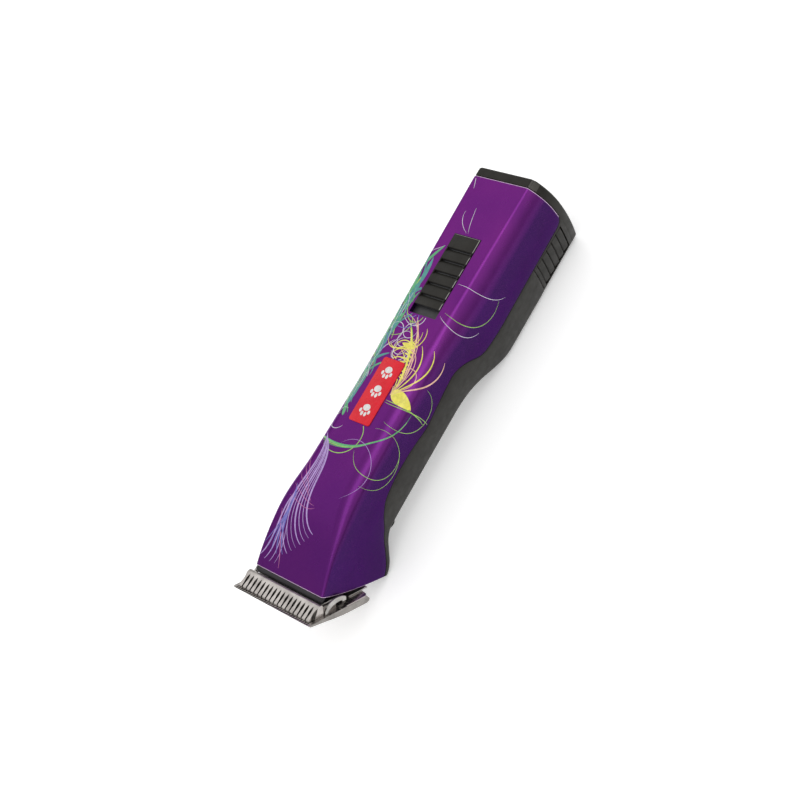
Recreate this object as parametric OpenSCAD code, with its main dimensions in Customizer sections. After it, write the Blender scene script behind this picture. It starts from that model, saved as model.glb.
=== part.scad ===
// Cordless pet clipper: a snap-on blade set on a folding hinge, a slide switch on the top face
// and a battery pack that pulls out of the back.
// Every module is drawn in clipper coordinates: x runs back from the comb tips, y runs across,
// and z runs up from the line of the comb tips. place() stands the clipper on its belly, with
// the origin under the middle of the whole length.

/* [Body] */
// Length from the comb tips to the back of the battery cap
overall_l = 210; // [208:1:214]
// Height of the flat top face above the comb tips
top_h = 9.6; // [9.2:0.2:10.4]
// Depth of the belly below the comb tips
belly_drop = 38.5; // [38.5:0.5:40]
// Wall thickness of the two shells
wall = 2; // [1.6:0.2:2.4]
// Gap along the parting line of the shells
seam = 0.2; // [0.1:0.1:0.4]
// Clearance between pieces that move against each other
play = 0.3; // [0.25:0.05:0.4]

/* [Blade set] */
// Slope of the blade below the length of the body, in degrees
blade_tilt = 42; // [41:0.5:43]
// Width of the comb
comb_w = 49.5; // [49:0.5:50]
// Number of comb teeth
comb_teeth = 32; // [26:1:36]
// Width of the moving cutter
cutter_w = 46; // [44:0.5:46]
// Number of cutter teeth
cutter_teeth = 18; // [14:1:20]

/* [Drive] */
// Gear module
gear_module = 0.5; // [0.5]
// Teeth on the motor pinion
pinion_teeth = 12; // [12]
// Teeth on the drive gear
gear_teeth = 24; // [24]
// Throw of the crank pin
crank_throw = 0.8; // [0.6:0.1:0.9]
// Radius of the motor can
motor_r = 12.2; // [11.5:0.1:12.4]
// Length of the motor can
motor_l = 40; // [36:1:40]

/* [Switch] */
// Length of the sliding switch plate
switch_l = 35.2; // [33:0.2:36]
// Width of the sliding switch plate
switch_w = 15.2; // [14:0.2:16]
// Travel of the switch towards the blade
switch_travel = 4; // [3:0.5:4]

/* [Battery] */
// Diameter of one battery cell
cell_d = 16; // [14:0.5:16]
// Length of one battery cell
cell_l = 50; // [46:1:50]
// Travel of each side grip when squeezed
grip_travel = 1.2; // [0.8:0.1:1.5]

/* [Hidden] */
$fn = 48;

// Outline of the housing, each table a few points along x.
nose_x = 12.6;         // top of the slanted front face
nose_z = -2;
chin_x = 38;           // bottom of the slanted front face
lean_end = 62;         // behind here the cross sections stand upright
slope_x = 50;          // the top face starts to fall towards the nose
cap_x = 205.3;         // seam between the upper shell and the battery cap
skirt_x = 180;         // seam between the lower shell and the battery cap
RIDGE = [[12, 21.6], [21, 21], [38, 18.6], [52, 16.6], [65, 15.8], [100, 14.6], [130, 14.1], [205, 15.6]];
WAIST = [[12, 21.9], [38, 21.2], [60, 19.4], [90, 18.8], [125, 19], [150, 20.3], [205, 20.8]];
WAIST_AT = [[12, 0.12], [38, 0.2], [60, 0.38], [120, 0.4], [150, 0.33], [205, 0.31]];
BASE = [[12, 15], [38, 14.5], [60, 13.5], [120, 13], [145, 11.8], [205, 11.4]];
SOFT = [[12, 1], [30, 2], [60, 5], [110, 4.5], [140, 1.4], [205, 0.8]];
PARTING = [[12, 0.9], [30, 0.87], [45, 0.79], [54, 0.6], [61, 0.49], [72, 0.44], [84, 0.45], [96, 0.5],
           [108, 0.45], [122, 0.4], [129, 0.46], [136, 0.585], [146, 0.55], [205, 0.51]];
BELLY = [[30, 0], [40.5, 0], [52.2, 12.6], [60, 12], [114, 12], [122, 11], [130, 8], [138, 3.6], [146, 0.2],
         [150, 0], [210, 0]];
base_r = 3.5;          // rounding of the two bottom edges
corner_r = 4.5;        // rounding of the lower back corner of the upper shell
arc_n = 4;             // points on each rounded edge
side_n = 5;            // points on each side

function mix(a, b, t) = a + (b - a) * t;
function smooth(x, table, w) =
  (lookup(x - w, table) + lookup(x - w / 2, table) + lookup(x, table) + lookup(x + w / 2, table)
   + lookup(x + w, table)) / 5;

function top_z(x) =
  x > slope_x ? top_h : top_h - (top_h - nose_z) * pow((slope_x - x) / (slope_x - nose_x), 1.45);
function lean(x) = (chin_x - nose_x) * max(0, lean_end - x) / (lean_end - nose_x);
function belly_z(x) = -belly_drop + smooth(x, BELLY, 3);

// A cross section at x is a slice through the line from its top point to its belly point.
function top_pt(x) = [x, top_z(x)];
function belly_pt(x) = [x + lean(x), belly_z(x + lean(x))];
function depth(x) = norm(belly_pt(x) - top_pt(x));
function at(x, y, d) =
  let (t = top_pt(x), dir = (belly_pt(x) - t) / depth(x))
  [t[0] + dir[0] * d, y, t[1] + dir[1] * d];

// Half width of the cross section at a depth d below its top.
function half_w(x, d) =
  let (s = d / depth(x), sm = lookup(x, WAIST_AT), b = smooth(x, WAIST, 4))
  s < sm ? b - (b - smooth(x, RIDGE, 4)) * pow((sm - s) / sm, 2.4)
         : b - (b - lookup(x, BASE)) * pow((s - sm) / (1 - sm), 1.6);
// The parting line rises round a corner at the back of the upper shell.
function corner_rise(x) =
  let (t = min(max(x - cap_x + corner_r, 0), corner_r))
  corner_r - sqrt(corner_r * corner_r - t * t);
function parting(x) = smooth(x, PARTING, 2.5) * depth(x) - corner_rise(x);

// Points [y, depth] down one side: rounded ridge then flank, or flank then rounded base.
function ridge_side(x, inset, end) =
  let (r = smooth(x, SOFT, 5))
  concat(
    [for (k = [0:arc_n - 1])
      let (a = 90 * k / arc_n, d = r * (1 - cos(a)))
      [half_w(x, d) - r * (1 - sin(a)) - inset, d + inset]],
    [for (k = [0:side_n])
      let (d = mix(r, end, k / side_n))
      [half_w(x, d) - inset, max(d, inset + 0.01 * k + r * 0.9)]]);
function base_side(x, inset, start) =
  let (h = depth(x), low = h - base_r)
  concat(
    [for (k = [0:side_n - 1])
      let (d = mix(start, low, k / side_n))
      [half_w(x, d) - inset, d]],
    [for (k = [0:arc_n])
      let (a = 90 * k / arc_n, d = h - base_r * (1 - sin(a)))
      [half_w(x, d) - base_r * (1 - cos(a)) - inset, d - inset * k / arc_n]]);

// Both sides as one open run, from -y over the top to +y, or from +y under the belly to -y.
function reversed(list) = [for (i = [len(list) - 1:-1:0]) list[i]];
function mirrored(side) = [for (p = side) [-p[0], p[1]]];
function over(x, side) = [for (p = concat(reversed(mirrored(side)), side)) at(x, p[0], p[1])];
function under(x, side) = [for (p = concat(side, reversed(mirrored(side)))) at(x, p[0], p[1])];

// Skin between an outer run and an inner run at each station; each ring is outer then inner.
module skin(outer, inner) {
  n = len(outer[0]);
  m = len(outer);
  points = [for (i = [0:m - 1]) each concat(outer[i], reversed(inner[i]))];
  sides = [for (i = [0:m - 2], j = [0:2 * n - 1])
    let (k = (j + 1) % (2 * n), here = i * 2 * n, next = here + 2 * n)
    each [[here + j, here + k, next + k], [here + j, next + k, next + j]]];
  ends = [for (j = [0:n - 2])
    each [[j, 2 * n - 1 - j, 2 * n - 2 - j, j + 1],
          for (o = [(m - 1) * 2 * n]) [o + j, o + j + 1, o + 2 * n - 2 - j, o + 2 * n - 1 - j]]];
  polyhedron(points, concat(sides, ends));
}

// Solid slice of the housing outline, from station x0 to station x1.
function loop_at(x, inset) =
  let (p = parting(x), top = ridge_side(x, inset, p), low = base_side(x, inset, p),
       half = concat(top, [for (k = [1:len(low) - 1]) low[k]]))
  [for (q = concat(half, reversed(mirrored(half)))) at(x, q[0], q[1])];
module slice(stations, inset) {
  rings = [for (x = stations) loop_at(x, inset)];
  n = len(rings[0]);
  m = len(rings);
  half = n / 2;
  sides = [for (i = [0:m - 2], j = [0:n - 1])
    let (k = (j + 1) % n, here = i * n, next = here + n)
    each [[here + j, here + k, next + k], [here + j, next + k, next + j]]];
  ends = [for (j = [0:half - 2])
    each [[n - 1 - j, n - 2 - j, j + 1, j],
          for (o = [(m - 1) * n]) [o + j, o + j + 1, o + n - 2 - j, o + n - 1 - j]]];
  polyhedron([for (r = rings) each r], concat(sides, ends));
}

function steps(a, b, n) = [for (i = [0:n]) mix(a, b, i / n)];
corner_x = [for (a = [0:18:90]) cap_x - corner_r * (1 - sin(a))];
handle_x = concat(steps(nose_x, lean_end, 14), steps(66, 118, 8), steps(121, 150, 10));
shell_x = concat(handle_x, steps(158, 196, 4), corner_x);
low_x = concat(handle_x, steps(158, skirt_x, 2));

// Moves a drawing from clipper coordinates to the frame of the part.
module place() {
  translate([-overall_l / 2, 0, belly_drop]) children();
}
// Local x runs back along the comb from its tips, local z rises from its top surface.
module blade_frame() {
  place() rotate([0, blade_tilt, 0]) children();
}
// Local x runs down the slanted front of the head, local z goes into the head.
module head_frame() {
  translate([nose_x, 0, nose_z])
    rotate([0, atan2(-(belly_pt(nose_x)[1] - nose_z), chin_x - nose_x), 0]) children();
}
// Extrudes an outline drawn in x and z across the clipper.
module across(w) {
  rotate([90, 0, 0]) linear_extrude(w, center = true) children();
}
// Cylinder lying across the clipper.
module cross_rod(r, w) {
  rotate([90, 0, 0]) cylinder(r = r, h = w, center = true);
}
// Cylinder or tube along x, starting at x0.
module rod(r, x0, l) {
  translate([x0, 0, 0]) rotate([0, 90, 0]) cylinder(r = r, h = l);
}
module tube(r, bore, x0, l) {
  difference() {
    rod(r, x0, l);
    rod(bore, x0 - 1, l + 2);
  }
}
// Box given by its low corner and its high corner.
module block(lo, hi) {
  translate(lo) cube(hi - lo);
}
module pan_screw(head_r, head_h, shank_r, shank_l) {
  difference() {
    cylinder(r = head_r, h = head_h);
    translate([0, 0, head_h - 0.6]) for (a = [0, 90]) rotate(a) translate([-head_r * 0.6, -0.25, 0])
      cube([head_r * 1.2, 0.5, 1]);
  }
  translate([0, 0, -shank_l]) cylinder(r = shank_r, h = shank_l + 0.1);
}

// Housing
motor_z = -9;
motor_x = 76;
crank_z = motor_z + gear_module * (pinion_teeth + gear_teeth) / 2;
switch_x = 141.2;
switch_margin = 0.35;
front_screw = [56, 11];
rear_screw = [125, 9];
screw_r = 1.25;
boss_r = 3;
boss_split = -8;
screw_places = [for (p = [front_screw, rear_screw], s = [-1, 1]) [p[0], s * p[1]]];

module upper_shell() {
  top_in = top_h - wall;
  color("#6b2a86") place() difference() {
    union() {
      skin([for (x = shell_x) over(x, ridge_side(x, 0, parting(x) - seam / 2))],
           [for (x = shell_x) over(x, ridge_side(x, wall, parting(x) - seam / 2))]);
      for (p = screw_places) translate([p[0], p[1], boss_split])
        cylinder(r = boss_r, h = top_in + 0.5 - boss_split);
    }
    for (p = screw_places) translate([p[0], p[1], boss_split - 1]) cylinder(r = screw_r, h = 12);
    block([switch_x - switch_travel - switch_margin, -switch_w / 2 - switch_margin, top_in - 1],
          [switch_x + switch_l + switch_margin, switch_w / 2 + switch_margin, top_h + 1]);
  }
}

module lower_shell() {
  floor_in = 3;
  color("#3b3a35") place() difference() {
    union() {
      skin([for (x = low_x) under(x, base_side(x, 0, parting(x) + seam / 2))],
           [for (x = low_x) under(x, base_side(x, wall, parting(x) + seam / 2))]);
      for (p = screw_places)
        translate([p[0], p[1], belly_z(p[0]) + wall - 0.5])
          cylinder(r = boss_r, h = boss_split - seam - belly_z(p[0]) - wall + 0.5);
      for (x = [84, 106]) difference() {
        block([x, -9, belly_z(x) + wall - 0.6], [x + floor_in, 9, motor_z - 6]);
        place_motor() rod(motor_r + 0.05, x - 1, floor_in + 2);
      }
    }
    for (p = screw_places) translate([p[0], p[1], belly_z(p[0]) - 1]) {
      cylinder(r = screw_r + 0.15, h = 30);
      cylinder(r = 2.6, h = 4.4);
    }
  }
}
module place_motor() {
  translate([0, 0, motor_z]) children();
}

module housing_screws() {
  color("#8d8f92") place() for (p = screw_places)
    translate([p[0], p[1], belly_z(p[0]) + 3.4]) rotate([180, 0, 0]) pan_screw(2.3, 1.6, screw_r, 18);
}

// Dark frame that closes the slanted front of the head, with the lip above the cutter.
lip_half = 21.2;
window_lo = 3.2;
window_hi = 22.5;
hinge_lo = 24;
hinge_hi = 41;
module nose_frame() {
  inside_x = [nose_x + 0.5, nose_x + 1.3, nose_x + 2.1];
  color("#2b2a2c") place() difference() {
    union() {
      slice(inside_x, wall + 0.1);
      head_frame() {
        across(2 * lip_half)
          polygon([[0.05, -0.03], [-0.25, -1.4], [0.3, -2.9], [1.2, -2.9], [3.3, -0.03]]);
        block([2.4, -lip_half + 4, -0.2], [3.2, lip_half - 4, 0.9]);
      }
      head_frame() block([hinge_lo - 1.2, -12.2, 1], [hinge_hi - 0.6, 12.2, 4.4]);
    }
    head_frame() {
      block([window_lo, -8, -4], [window_hi, 8, 5]);
      block([hinge_lo - 0.2, -11.2, -3], [hinge_hi + 3, 11.2, 1.7]);
      for (s = [-1, 1]) translate([38, 6.5 * s, 0]) cylinder(r = 1, h = 6);
    }
  }
}

// Plain raised badge on the top face
badge_x = 99;
badge_l = 31;
badge_w = 12.6;
badge_r = 1.2;
badge_h = 0.5;
module badge() {
  color("#cf2233") place() translate([badge_x, 0, top_h + 0.02]) linear_extrude(badge_h)
    hull() for (u = [-1, 1], v = [-1, 1])
      translate([(badge_l / 2 - badge_r) * u, (badge_w / 2 - badge_r) * v]) circle(r = badge_r);
}

// Drive train
module gear_outline(teeth, backlash) {
  m = gear_module;
  rp = m * teeth / 2;
  rb = rp * cos(20);
  ra = rp + 0.85 * m;
  rr = rp - 1.15 * m;
  inv = tan(20) * 180 / PI - 20;
  half = 90 / teeth + inv - backlash;
  r0 = max(rb, rr + 0.05);
  flank = [for (k = [0:5])
    let (r = mix(r0, ra, k / 5), a = acos(rb / r), turn = tan(a) * 180 / PI - a)
    [r, half - turn]];
  polygon([for (i = [0:teeth - 1])
    let (c = 360 * i / teeth)
    each concat(
      [[rr * cos(c - half - 1), rr * sin(c - half - 1)]],
      [for (f = flank) [f[0] * cos(c - f[1]), f[0] * sin(c - f[1])]],
      [for (f = reversed(flank)) [f[0] * cos(c + f[1]), f[0] * sin(c + f[1])]],
      [[rr * cos(c + half + 1), rr * sin(c + half + 1)]])]);
}
// Turns an outline drawn in y and z into a plate along x.
module along(x0, l) {
  translate([x0, 0, 0]) rotate([90, 0, 90]) linear_extrude(l) children();
}

shaft_r = 1.15;
crank_r = 1.5;
pivot_x = 38;
crank_pin_x = 49;
module gear_frame() {
  color("#b9bcc0") place() difference() {
    union() {
      along(70, 3.2) polygon([[-11, -21], [11, -21], [11, 2], [6, 6.8], [-6, 6.8], [-11, 2]]);
      along(57.2, 2.6) polygon([[-7, -21], [7, -21], [7, 4], [4, 6.6], [-4, 6.6], [-7, 4]]);
      block([33, -7, -21], [73.2, 7, -18.6]);
      translate([pivot_x, 0, -20]) cylinder(r = 4, h = 9.5);
    }
    translate([0, 0, motor_z]) rod(4.05, 69, 6);
    translate([0, 0, motor_z]) rod(4.4, 56, 6);
    translate([0, 0, crank_z]) rod(3, 56, 20);
    for (s = [-1, 1]) translate([0, 8.3 * s, motor_z]) rod(1.1, 69, 6);
    translate([pivot_x, 0, -22]) cylinder(r = 1.5, h = 14);
  }
}
module motor_can() {
  color("#a9adb2") place() place_motor() difference() {
    union() {
      rod(motor_r, motor_x, motor_l);
      rod(4, motor_x - 2.6, 3);
    }
    rod(motor_r - 0.9, motor_x + 1.2, motor_l);
    rod(2.5, motor_x - 4, 8);
    for (s = [-1, 1]) translate([0, 8.3 * s, 0]) rod(0.9, motor_x - 1, 3);
  }
}
module motor_end_bell() {
  color("#e4dfd2") place() place_motor() difference() {
    union() {
      rod(motor_r - 1, motor_x + motor_l - 2.5, 2.6);
      rod(motor_r - 0.2, motor_x + motor_l + 0.05, 2.8);
    }
    rod(2.5, motor_x + motor_l - 4, 8);
    rod(8, motor_x + motor_l - 4, 2.6);
  }
}
module motor_screws() {
  color("#77797c") place() place_motor() for (s = [-1, 1])
    translate([70, 8.3 * s, 0]) rotate([0, -90, 0]) pan_screw(2, 1.3, 0.9, 6.9);
}
module motor_bushings() {
  color("#b8863b") place() place_motor() {
    tube(2.5, shaft_r + 0.03, motor_x - 2.6, 3.6);
    tube(2.5, shaft_r + 0.03, motor_x + motor_l - 1.2, 3.2);
  }
}
module motor_shaft() {
  color("#c9ccd0") place() place_motor() rod(shaft_r, 60.4, motor_x + motor_l - 56);
}
module motor_armature() {
  poles = 5;
  color("#8c4f24") place() place_motor() difference() {
    union() {
      along(motor_x + 8, 22) for (i = [0:poles - 1]) rotate(72 * i) {
        translate([0, -1.6]) square([9.4, 3.2]);
        intersection() {
          circle(r = 10.4);
          translate([8.6, -4.6]) square([4, 9.2]);
        }
      }
      rod(4, motor_x + 6, 31);
    }
    rod(shaft_r, motor_x, 45);
  }
}
module pinion_gear() {
  color("#d9b45a") place() place_motor() difference() {
    along(62.2, 6) gear_outline(pinion_teeth, 0.7);
    rod(shaft_r, 60, 10);
  }
}
module drive_gear() {
  color("#e9e4d6") place() translate([0, 0, crank_z]) difference() {
    along(62.8, 4.8) rotate(180 / gear_teeth) gear_outline(gear_teeth, 0.35);
    rod(crank_r, 60, 10);
    for (i = [0:5]) rotate([60 * i, 0, 0]) translate([0, 3.4, 0]) rod(0.8, 60, 10);
  }
}
module crankshaft() {
  color("#c9ccd0") place() translate([0, 0, crank_z]) {
    rod(crank_r, 56, 17.2);
    rod(3, 55, 1.4);
    translate([0, 0, crank_throw]) rod(1.2, crank_pin_x, 6.2);
  }
}
module crank_bearings() {
  color("#9fa3a8") place() translate([0, 0, crank_z]) {
    tube(3, crank_r + 0.03, 57.2, 2.6);
    tube(3, crank_r + 0.03, 70, 3.2);
  }
}
module crank_roller() {
  color("#d7dade") place() translate([0, 0, crank_z + crank_throw]) tube(2.3, 1.2, crank_pin_x + 0.3, 4.6);
}

// Drive lever: forked behind its pivot, with its nose reaching down to the cutter
fork_half = 2.3 + 2.4 * crank_throw + play;
fork_gap_x = pivot_x + 6.5;
lever_in_u = 16;
module drive_lever() {
  color("#a7abb0") place() difference() {
    union() {
      translate([pivot_x, 0, -10.2]) cylinder(r = 4.6, h = 13.2);
      block([pivot_x, -fork_half - 2, -2.4], [55, fork_half + 2, 2.6]);
      across(5) polygon([[pivot_x, -3.4], [pivot_x, -9.4], [30, -10], [22, -12.6], [16.3, -9.06],
                         [13.1, -6.1], [14.6, -4.9], [20, -4.4], [30, -3.4]]);
    }
    translate([pivot_x, 0, -12]) cylinder(r = 2.5, h = 20);
    block([fork_gap_x, -fork_half, -4], [56, fork_half, 4]);
    rotate([0, blade_tilt, 0]) block([lever_in_u - 1.6, -1.3, 3], [lever_in_u + 1, 1.3, 6.2]);
  }
}
module lever_bushing() {
  color("#b8863b") place() translate([pivot_x, 0, -10.2]) difference() {
    cylinder(r = 2.5, h = 13.2);
    translate([0, 0, -1]) cylinder(r = 1.53, h = 16);
  }
}
module lever_pivot_pin() {
  color("#c9ccd0") place() translate([pivot_x, 0, -21]) cylinder(r = 1.5, h = 25);
}
module lever_tip() {
  color("#e8e6df") blade_frame() {
    block([lever_in_u - 2.2, -1.9, 0.5], [lever_in_u + 1.4, 1.9, 3.9]);
    block([lever_in_u - 1.6, -1.3, 3.8], [lever_in_u + 1, 1.3, 6.2]);
  }
}

// Folding hinge that carries the blade set
pin_u = 41;
pin_v = -2.5;
pin_r = 1;
knuckle_r = 2.2;
module at_pin() {
  blade_frame() translate([pin_u, 0, pin_v]) children();
}
module hinge_base() {
  color("#55575a") {
    place() difference() {
      head_frame() block([hinge_lo, -11, 0.2], [hinge_hi, 11, 1.5]);
      head_frame() for (s = [-1, 1]) translate([38, 6.5 * s, -1]) cylinder(r = 1.1, h = 4);
    }
    difference() {
      union() for (s = [-1, 1]) {
        at_pin() translate([0, 9 * s, 0]) cross_rod(knuckle_r, 4);
        place() head_frame() translate([30.8, 9 * s - 1.8, -1.5]) cube([3.6, 3.6, 2.3]);
      }
      at_pin() cross_rod(pin_r, 30);
    }
  }
}
module hinge_screws() {
  color("#8d8f92") place() head_frame() for (s = [-1, 1])
    translate([38, 6.5 * s, 0.2]) rotate([180, 0, 0]) pan_screw(2, 1, 1, 4);
}
module hinge_pin() {
  color("#c9ccd0") at_pin() cross_rod(pin_r, 22);
}
module hinge_tongue() {
  color("#6a6c6f") difference() {
    union() {
      at_pin() cross_rod(knuckle_r, 13.4);
      blade_frame() block([25, -6.7, -3.3], [pin_u, 6.7, -1.9]);
      blade_frame() block([25, -10.6, -3.3], [36.5, 10.6, -1.9]);
    }
    at_pin() cross_rod(pin_r + 0.04, 30);
  }
}

// Blade set
tooth_l = 8.5;
tooth_gap = 0.7;
tip_land = 2;          // solid land at each end of the row of comb teeth
rail_w = 3;
comb_side = [[0, 0], [0.64, -0.7], [9.6, -1.9], [18.8, -3], [21, -2.9], [21, 0]];
rail_side = [[20.4, -0.4], [31.4, -0.4], [33, -1], [33.5, -2], [33, -3], [31.4, -3.5], [20.4, -3.4]];
module comb_blade() {
  edge = comb_w / 2;
  pitch = (comb_w - 2 * tip_land) / comb_teeth;
  half_plate = [[20, 0.5 - edge], [31.6, 0.5 - edge], [33, 2 - edge], [33.4, -17], [37, -14.5]];
  color("#cfccc7") blade_frame() difference() {
    union() {
      across(comb_w) polygon(comb_side);
      linear_extrude_down(1.6) polygon(concat(half_plate, [for (p = reversed(half_plate)) [p[0], -p[1]]]));
      for (s = [-1, 1]) translate([0, (edge - 0.2 - rail_w / 2) * s, 0]) across(rail_w) polygon(rail_side);
    }
    for (i = [0:comb_teeth]) translate([-1, tip_land - edge + pitch * i - tooth_gap / 2, -4])
      cube([tooth_l + 1, tooth_gap, 6]);
    for (s = [-1, 1]) translate([screw_u, screw_y * s, -4]) cylinder(r = 1.3, h = 6);
  }
}
module linear_extrude_down(h) {
  translate([0, 0, -h]) linear_extrude(h) children();
}
flute_w = 1.3;
module cutter_blade() {
  pitch = cutter_w / cutter_teeth;
  color("#d9d6d1") blade_frame() difference() {
    union() {
      across(cutter_w) polygon([[2, 0.05], [1.8, 0.8], [7.8, 5], [9.4, 5], [9.5, 0.05]]);
      across(cutter_w - 5) polygon([[9, 0.05], [9, 2.2], [18.4, 2.2], [18.4, 0.05]]);
    }
    for (i = [0:cutter_teeth]) translate([0, pitch * i - cutter_w / 2, 0])
      across(flute_w) polygon([[0, -1], [4.4, -1], [4.6, 0.8], [7, 4.6], [7, 7], [0, 7]]);
    block([12.4, -2.15, -1], [22, 2.15, 4]);
  }
}
module cutter_guide() {
  color("#2a2a2b") blade_frame() difference() {
    block([10.6, -19.6, 2.2], [18, 19.6, 2.6]);
    block([12.4, -2.15, 1], [22, 2.15, 4]);
  }
}
screw_u = 29.5;
screw_y = 8.6;
module tension_spring() {
  t = 0.6;
  sheet = [[11, 2.7], [19.2, 2.7], [22.4, 1.2], [24.6, 0.02], [36.4, 0.02], [36.4, 0.02 + t],
           [24.8, 0.02 + t], [23, 1.6], [19.6, 2.7 + t], [11, 2.7 + t]];
  arm = [[9.9, 0.02], [10.5, 2.2], [12.6, 4.3], [16, 5.5], [19.4, 5.2], [21.6, 4.2],
         [21.6, 2.4], [18.6, 3.3], [15, 3], [12.4, 1.6], [11.4, 0.02]];
  color("#c4c1bc") blade_frame() difference() {
    union() {
      across(2 * 20) polygon(sheet);
      for (s = [-1, 1]) {
        translate([0, 23.2 * s, 0]) across(1.1) polygon(arm);
        translate([0, 21.8 * s, 0]) across(3.9) polygon([[19.6, 2.4], [21.6, 2.4], [21.6, 3], [19.6, 3.2]]);
      }
    }
    block([10, -6.4, -1], [33, 6.4, 6]);
    block([24, -21, -1], [26, -12, 6]);
    block([24, 12, -1], [26, 21, 6]);
    for (s = [-1, 1]) translate([screw_u, screw_y * s, -1]) cylinder(r = 1.4, h = 4);
  }
}
module blade_screws() {
  color("#9a9c9f") blade_frame() for (s = [-1, 1])
    translate([screw_u, screw_y * s, 0.64]) pan_screw(2.1, 0.8, 1.25, 2.2);
}
module blade_socket() {
  color("#b5b2ad") blade_frame() {
    block([22.4, -12.6, -4.6], [38.4, 12.6, -3.6]);
    for (s = [-1, 1]) translate([0, 11.8 * s - 0.8, 0]) block([22.4, 0, -4.6], [34, 1.6, -1.65]);
    block([22.4, -12.6, -4], [23.6, 12.6, -1.65]);
  }
}

// Switch
module switch_slider() {
  grooves = 5;
  pitch = 5.8;
  rise = 0.5;
  flange_w = 2.4;
  inside = top_h - wall;
  half = switch_w / 2;
  color("#35332f") place() difference() {
    union() {
      block([switch_x, -half, inside - 0.8], [switch_x + switch_l, half, top_h + rise]);
      block([switch_x - switch_travel - 1.6, -half - flange_w, inside - 1.6],
            [switch_x + switch_l + 3.6, half + flange_w, inside - 0.25]);
      block([switch_x - 1, -3, 2.6], [switch_x + 2, 3, inside - 1]);
    }
    for (i = [0:grooves - 1]) translate([switch_x + 4.3 + pitch * i, 0, top_h + rise]) across(20)
      polygon([[-1.1, 0.2], [0.5, -1.5], [0.9, -1.5], [1.1, 0.2]]);
  }
}
module circuit_board() {
  color("#1f6b45") place() difference() {
    block([129, -11, -1.2], [147, 11, 0]);
    for (s = [-1, 1]) translate([143, 8.5 * s, -2]) cylinder(r = 1.2, h = 3);
  }
}
module micro_switch() {
  color("#1c1c1e") place() {
    block([129.4, -5, 0.02], [134.6, 5, 5.4]);
    block([134.6, -1.2, 3], [135.4, 1.2, 5]);
  }
}
case_x = 151.2;
module terminal_block() {
  color("#202022") place() difference() {
    block([140.5, -8, -22], [146, 8, -1.25]);
    for (z = [-18, -6]) translate([0, 0, z]) rod(2, 143, 4);
  }
}
module terminal_springs() {
  color("#d0b35c") place() for (z = [-18, -6]) translate([0, 0, z]) {
    rod(1.8, 143, 4.4);
    rod(1, 147.3, case_x - 147.3 - 0.45);
  }
}

// Battery pack
case_end = cap_x + 1.5;
case_half = 9.6;
function case_outline(inset) =
  let (low = 6.2 - inset * 0.6, side = case_half - inset, high = 7 - inset * 0.6)
  [[-low, -35.6 + inset], [low, -35.6 + inset], [side, -32], [side, 0],
   [high, 3 - inset], [-high, 3 - inset], [-side, 0], [-side, -32]];
module battery_case() {
  color("#2b2b2d") place() difference() {
    along(case_x, case_end - case_x) polygon(case_outline(0));
    along(case_x + 1.2, case_end) polygon(case_outline(1.2));
    for (z = [-18, -6]) translate([0, 0, z]) rod(1.6, case_x - 1, 3);
  }
}
module battery_lid() {
  color("#39393b") place() along(case_end - 2.4, 2.3) polygon(case_outline(1.3));
}
module battery_cells() {
  color("#3f7fb5") place() for (z = [-26, -9]) translate([0, 0, z]) {
    rod(cell_d / 2, case_x + 1.6, cell_l - 1);
    rod(2.6, case_x + cell_l + 0.4, 0.9);
  }
}
module battery_contacts() {
  color("#d8bd6a") place() for (z = [-18, -6]) translate([0, 0, z]) rod(1.6, case_x + 0.1, 1.1);
}

grip_lo = 182.6;
grip_hi = 203;
grip_mid = 190;
grip_t = 2.4;
function grip_top(x) = parting(x) + 1.4;
function grip_low(x) = depth(x) - 4;
module battery_cap() {
  shrink = 0.25;
  skirt_xs = concat([skirt_x + play, grip_lo - play, 196], corner_x, [cap_x + play]);
  color("#3d3c37") place() {
    difference() {
      union() {
        skin([for (x = skirt_xs) under(x, base_side(x, shrink, parting(x) + play))],
             [for (x = skirt_xs) under(x, base_side(x, wall, parting(x) + play))]);
        difference() {
          slice([cap_x + play, overall_l - 1.6, overall_l - 0.7, overall_l], shrink);
          block([cap_x - 1, -case_half - 0.1, -35.7], [case_end, case_half + 0.1, 3.1]);
        }
      }
      for (s = [-1, 1]) grip_window(s);
    }
  }
}
module grip_window(s) {
  xs = [grip_lo - play, grip_hi + play];
  side_block(xs, s, grip_top(grip_mid) - play, grip_low(grip_mid) + play, 4, -3);
}
// Block that follows one flank, between two depths, from `inner` inside the skin to `outer` inside it.
module side_block(xs, s, d0, d1, inner, outer) {
  ds = s > 0 ? steps(d0, d1, 6) : steps(d1, d0, 6);
  skin([for (x = xs) [for (d = ds) at(x, s * (half_w(x, d) - outer), d)]],
       [for (x = xs) [for (d = ds) at(x, s * (half_w(x, d) - inner), d)]]);
}
// Side grip with upright ribs, sprung outwards
module grip(s) {
  ribs = 5;
  pitch = (grip_hi - grip_lo) / ribs;
  xs = [for (i = [0:ribs - 1])
    each [grip_lo + pitch * i + 0.05, grip_lo + pitch * (i + 0.78), grip_lo + pitch * (i + 0.82),
          grip_lo + pitch * (i + 1)]];
  sink = [for (i = [0:ribs - 1]) each [0.75, 0.2, 0.85, 0.85]];
  high = grip_top(grip_mid);
  low = grip_low(grip_mid);
  ds = s > 0 ? steps(high, low, 6) : steps(low, high, 6);
  skin([for (i = [0:len(xs) - 1]) [for (d = ds) at(xs[i], s * (half_w(xs[i], d) - sink[i]), d)]],
       [for (x = xs) [for (d = ds) at(x, s * (half_w(x, d) - grip_t), d)]]);
}
module grip_left() {
  color("#34332f") place() grip(1);
}
module grip_right() {
  color("#34332f") place() grip(-1);
}
module grip_springs(s) {
  color("#c9ccd0") place() for (x = [188, 198])
    translate([x, s * 9.65, -18]) rotate([-90 * s, 0, 0]) cylinder(r = 1.6, h = 4.4);
}
module grip_spring_left() {
  grip_springs(1);
}
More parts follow.
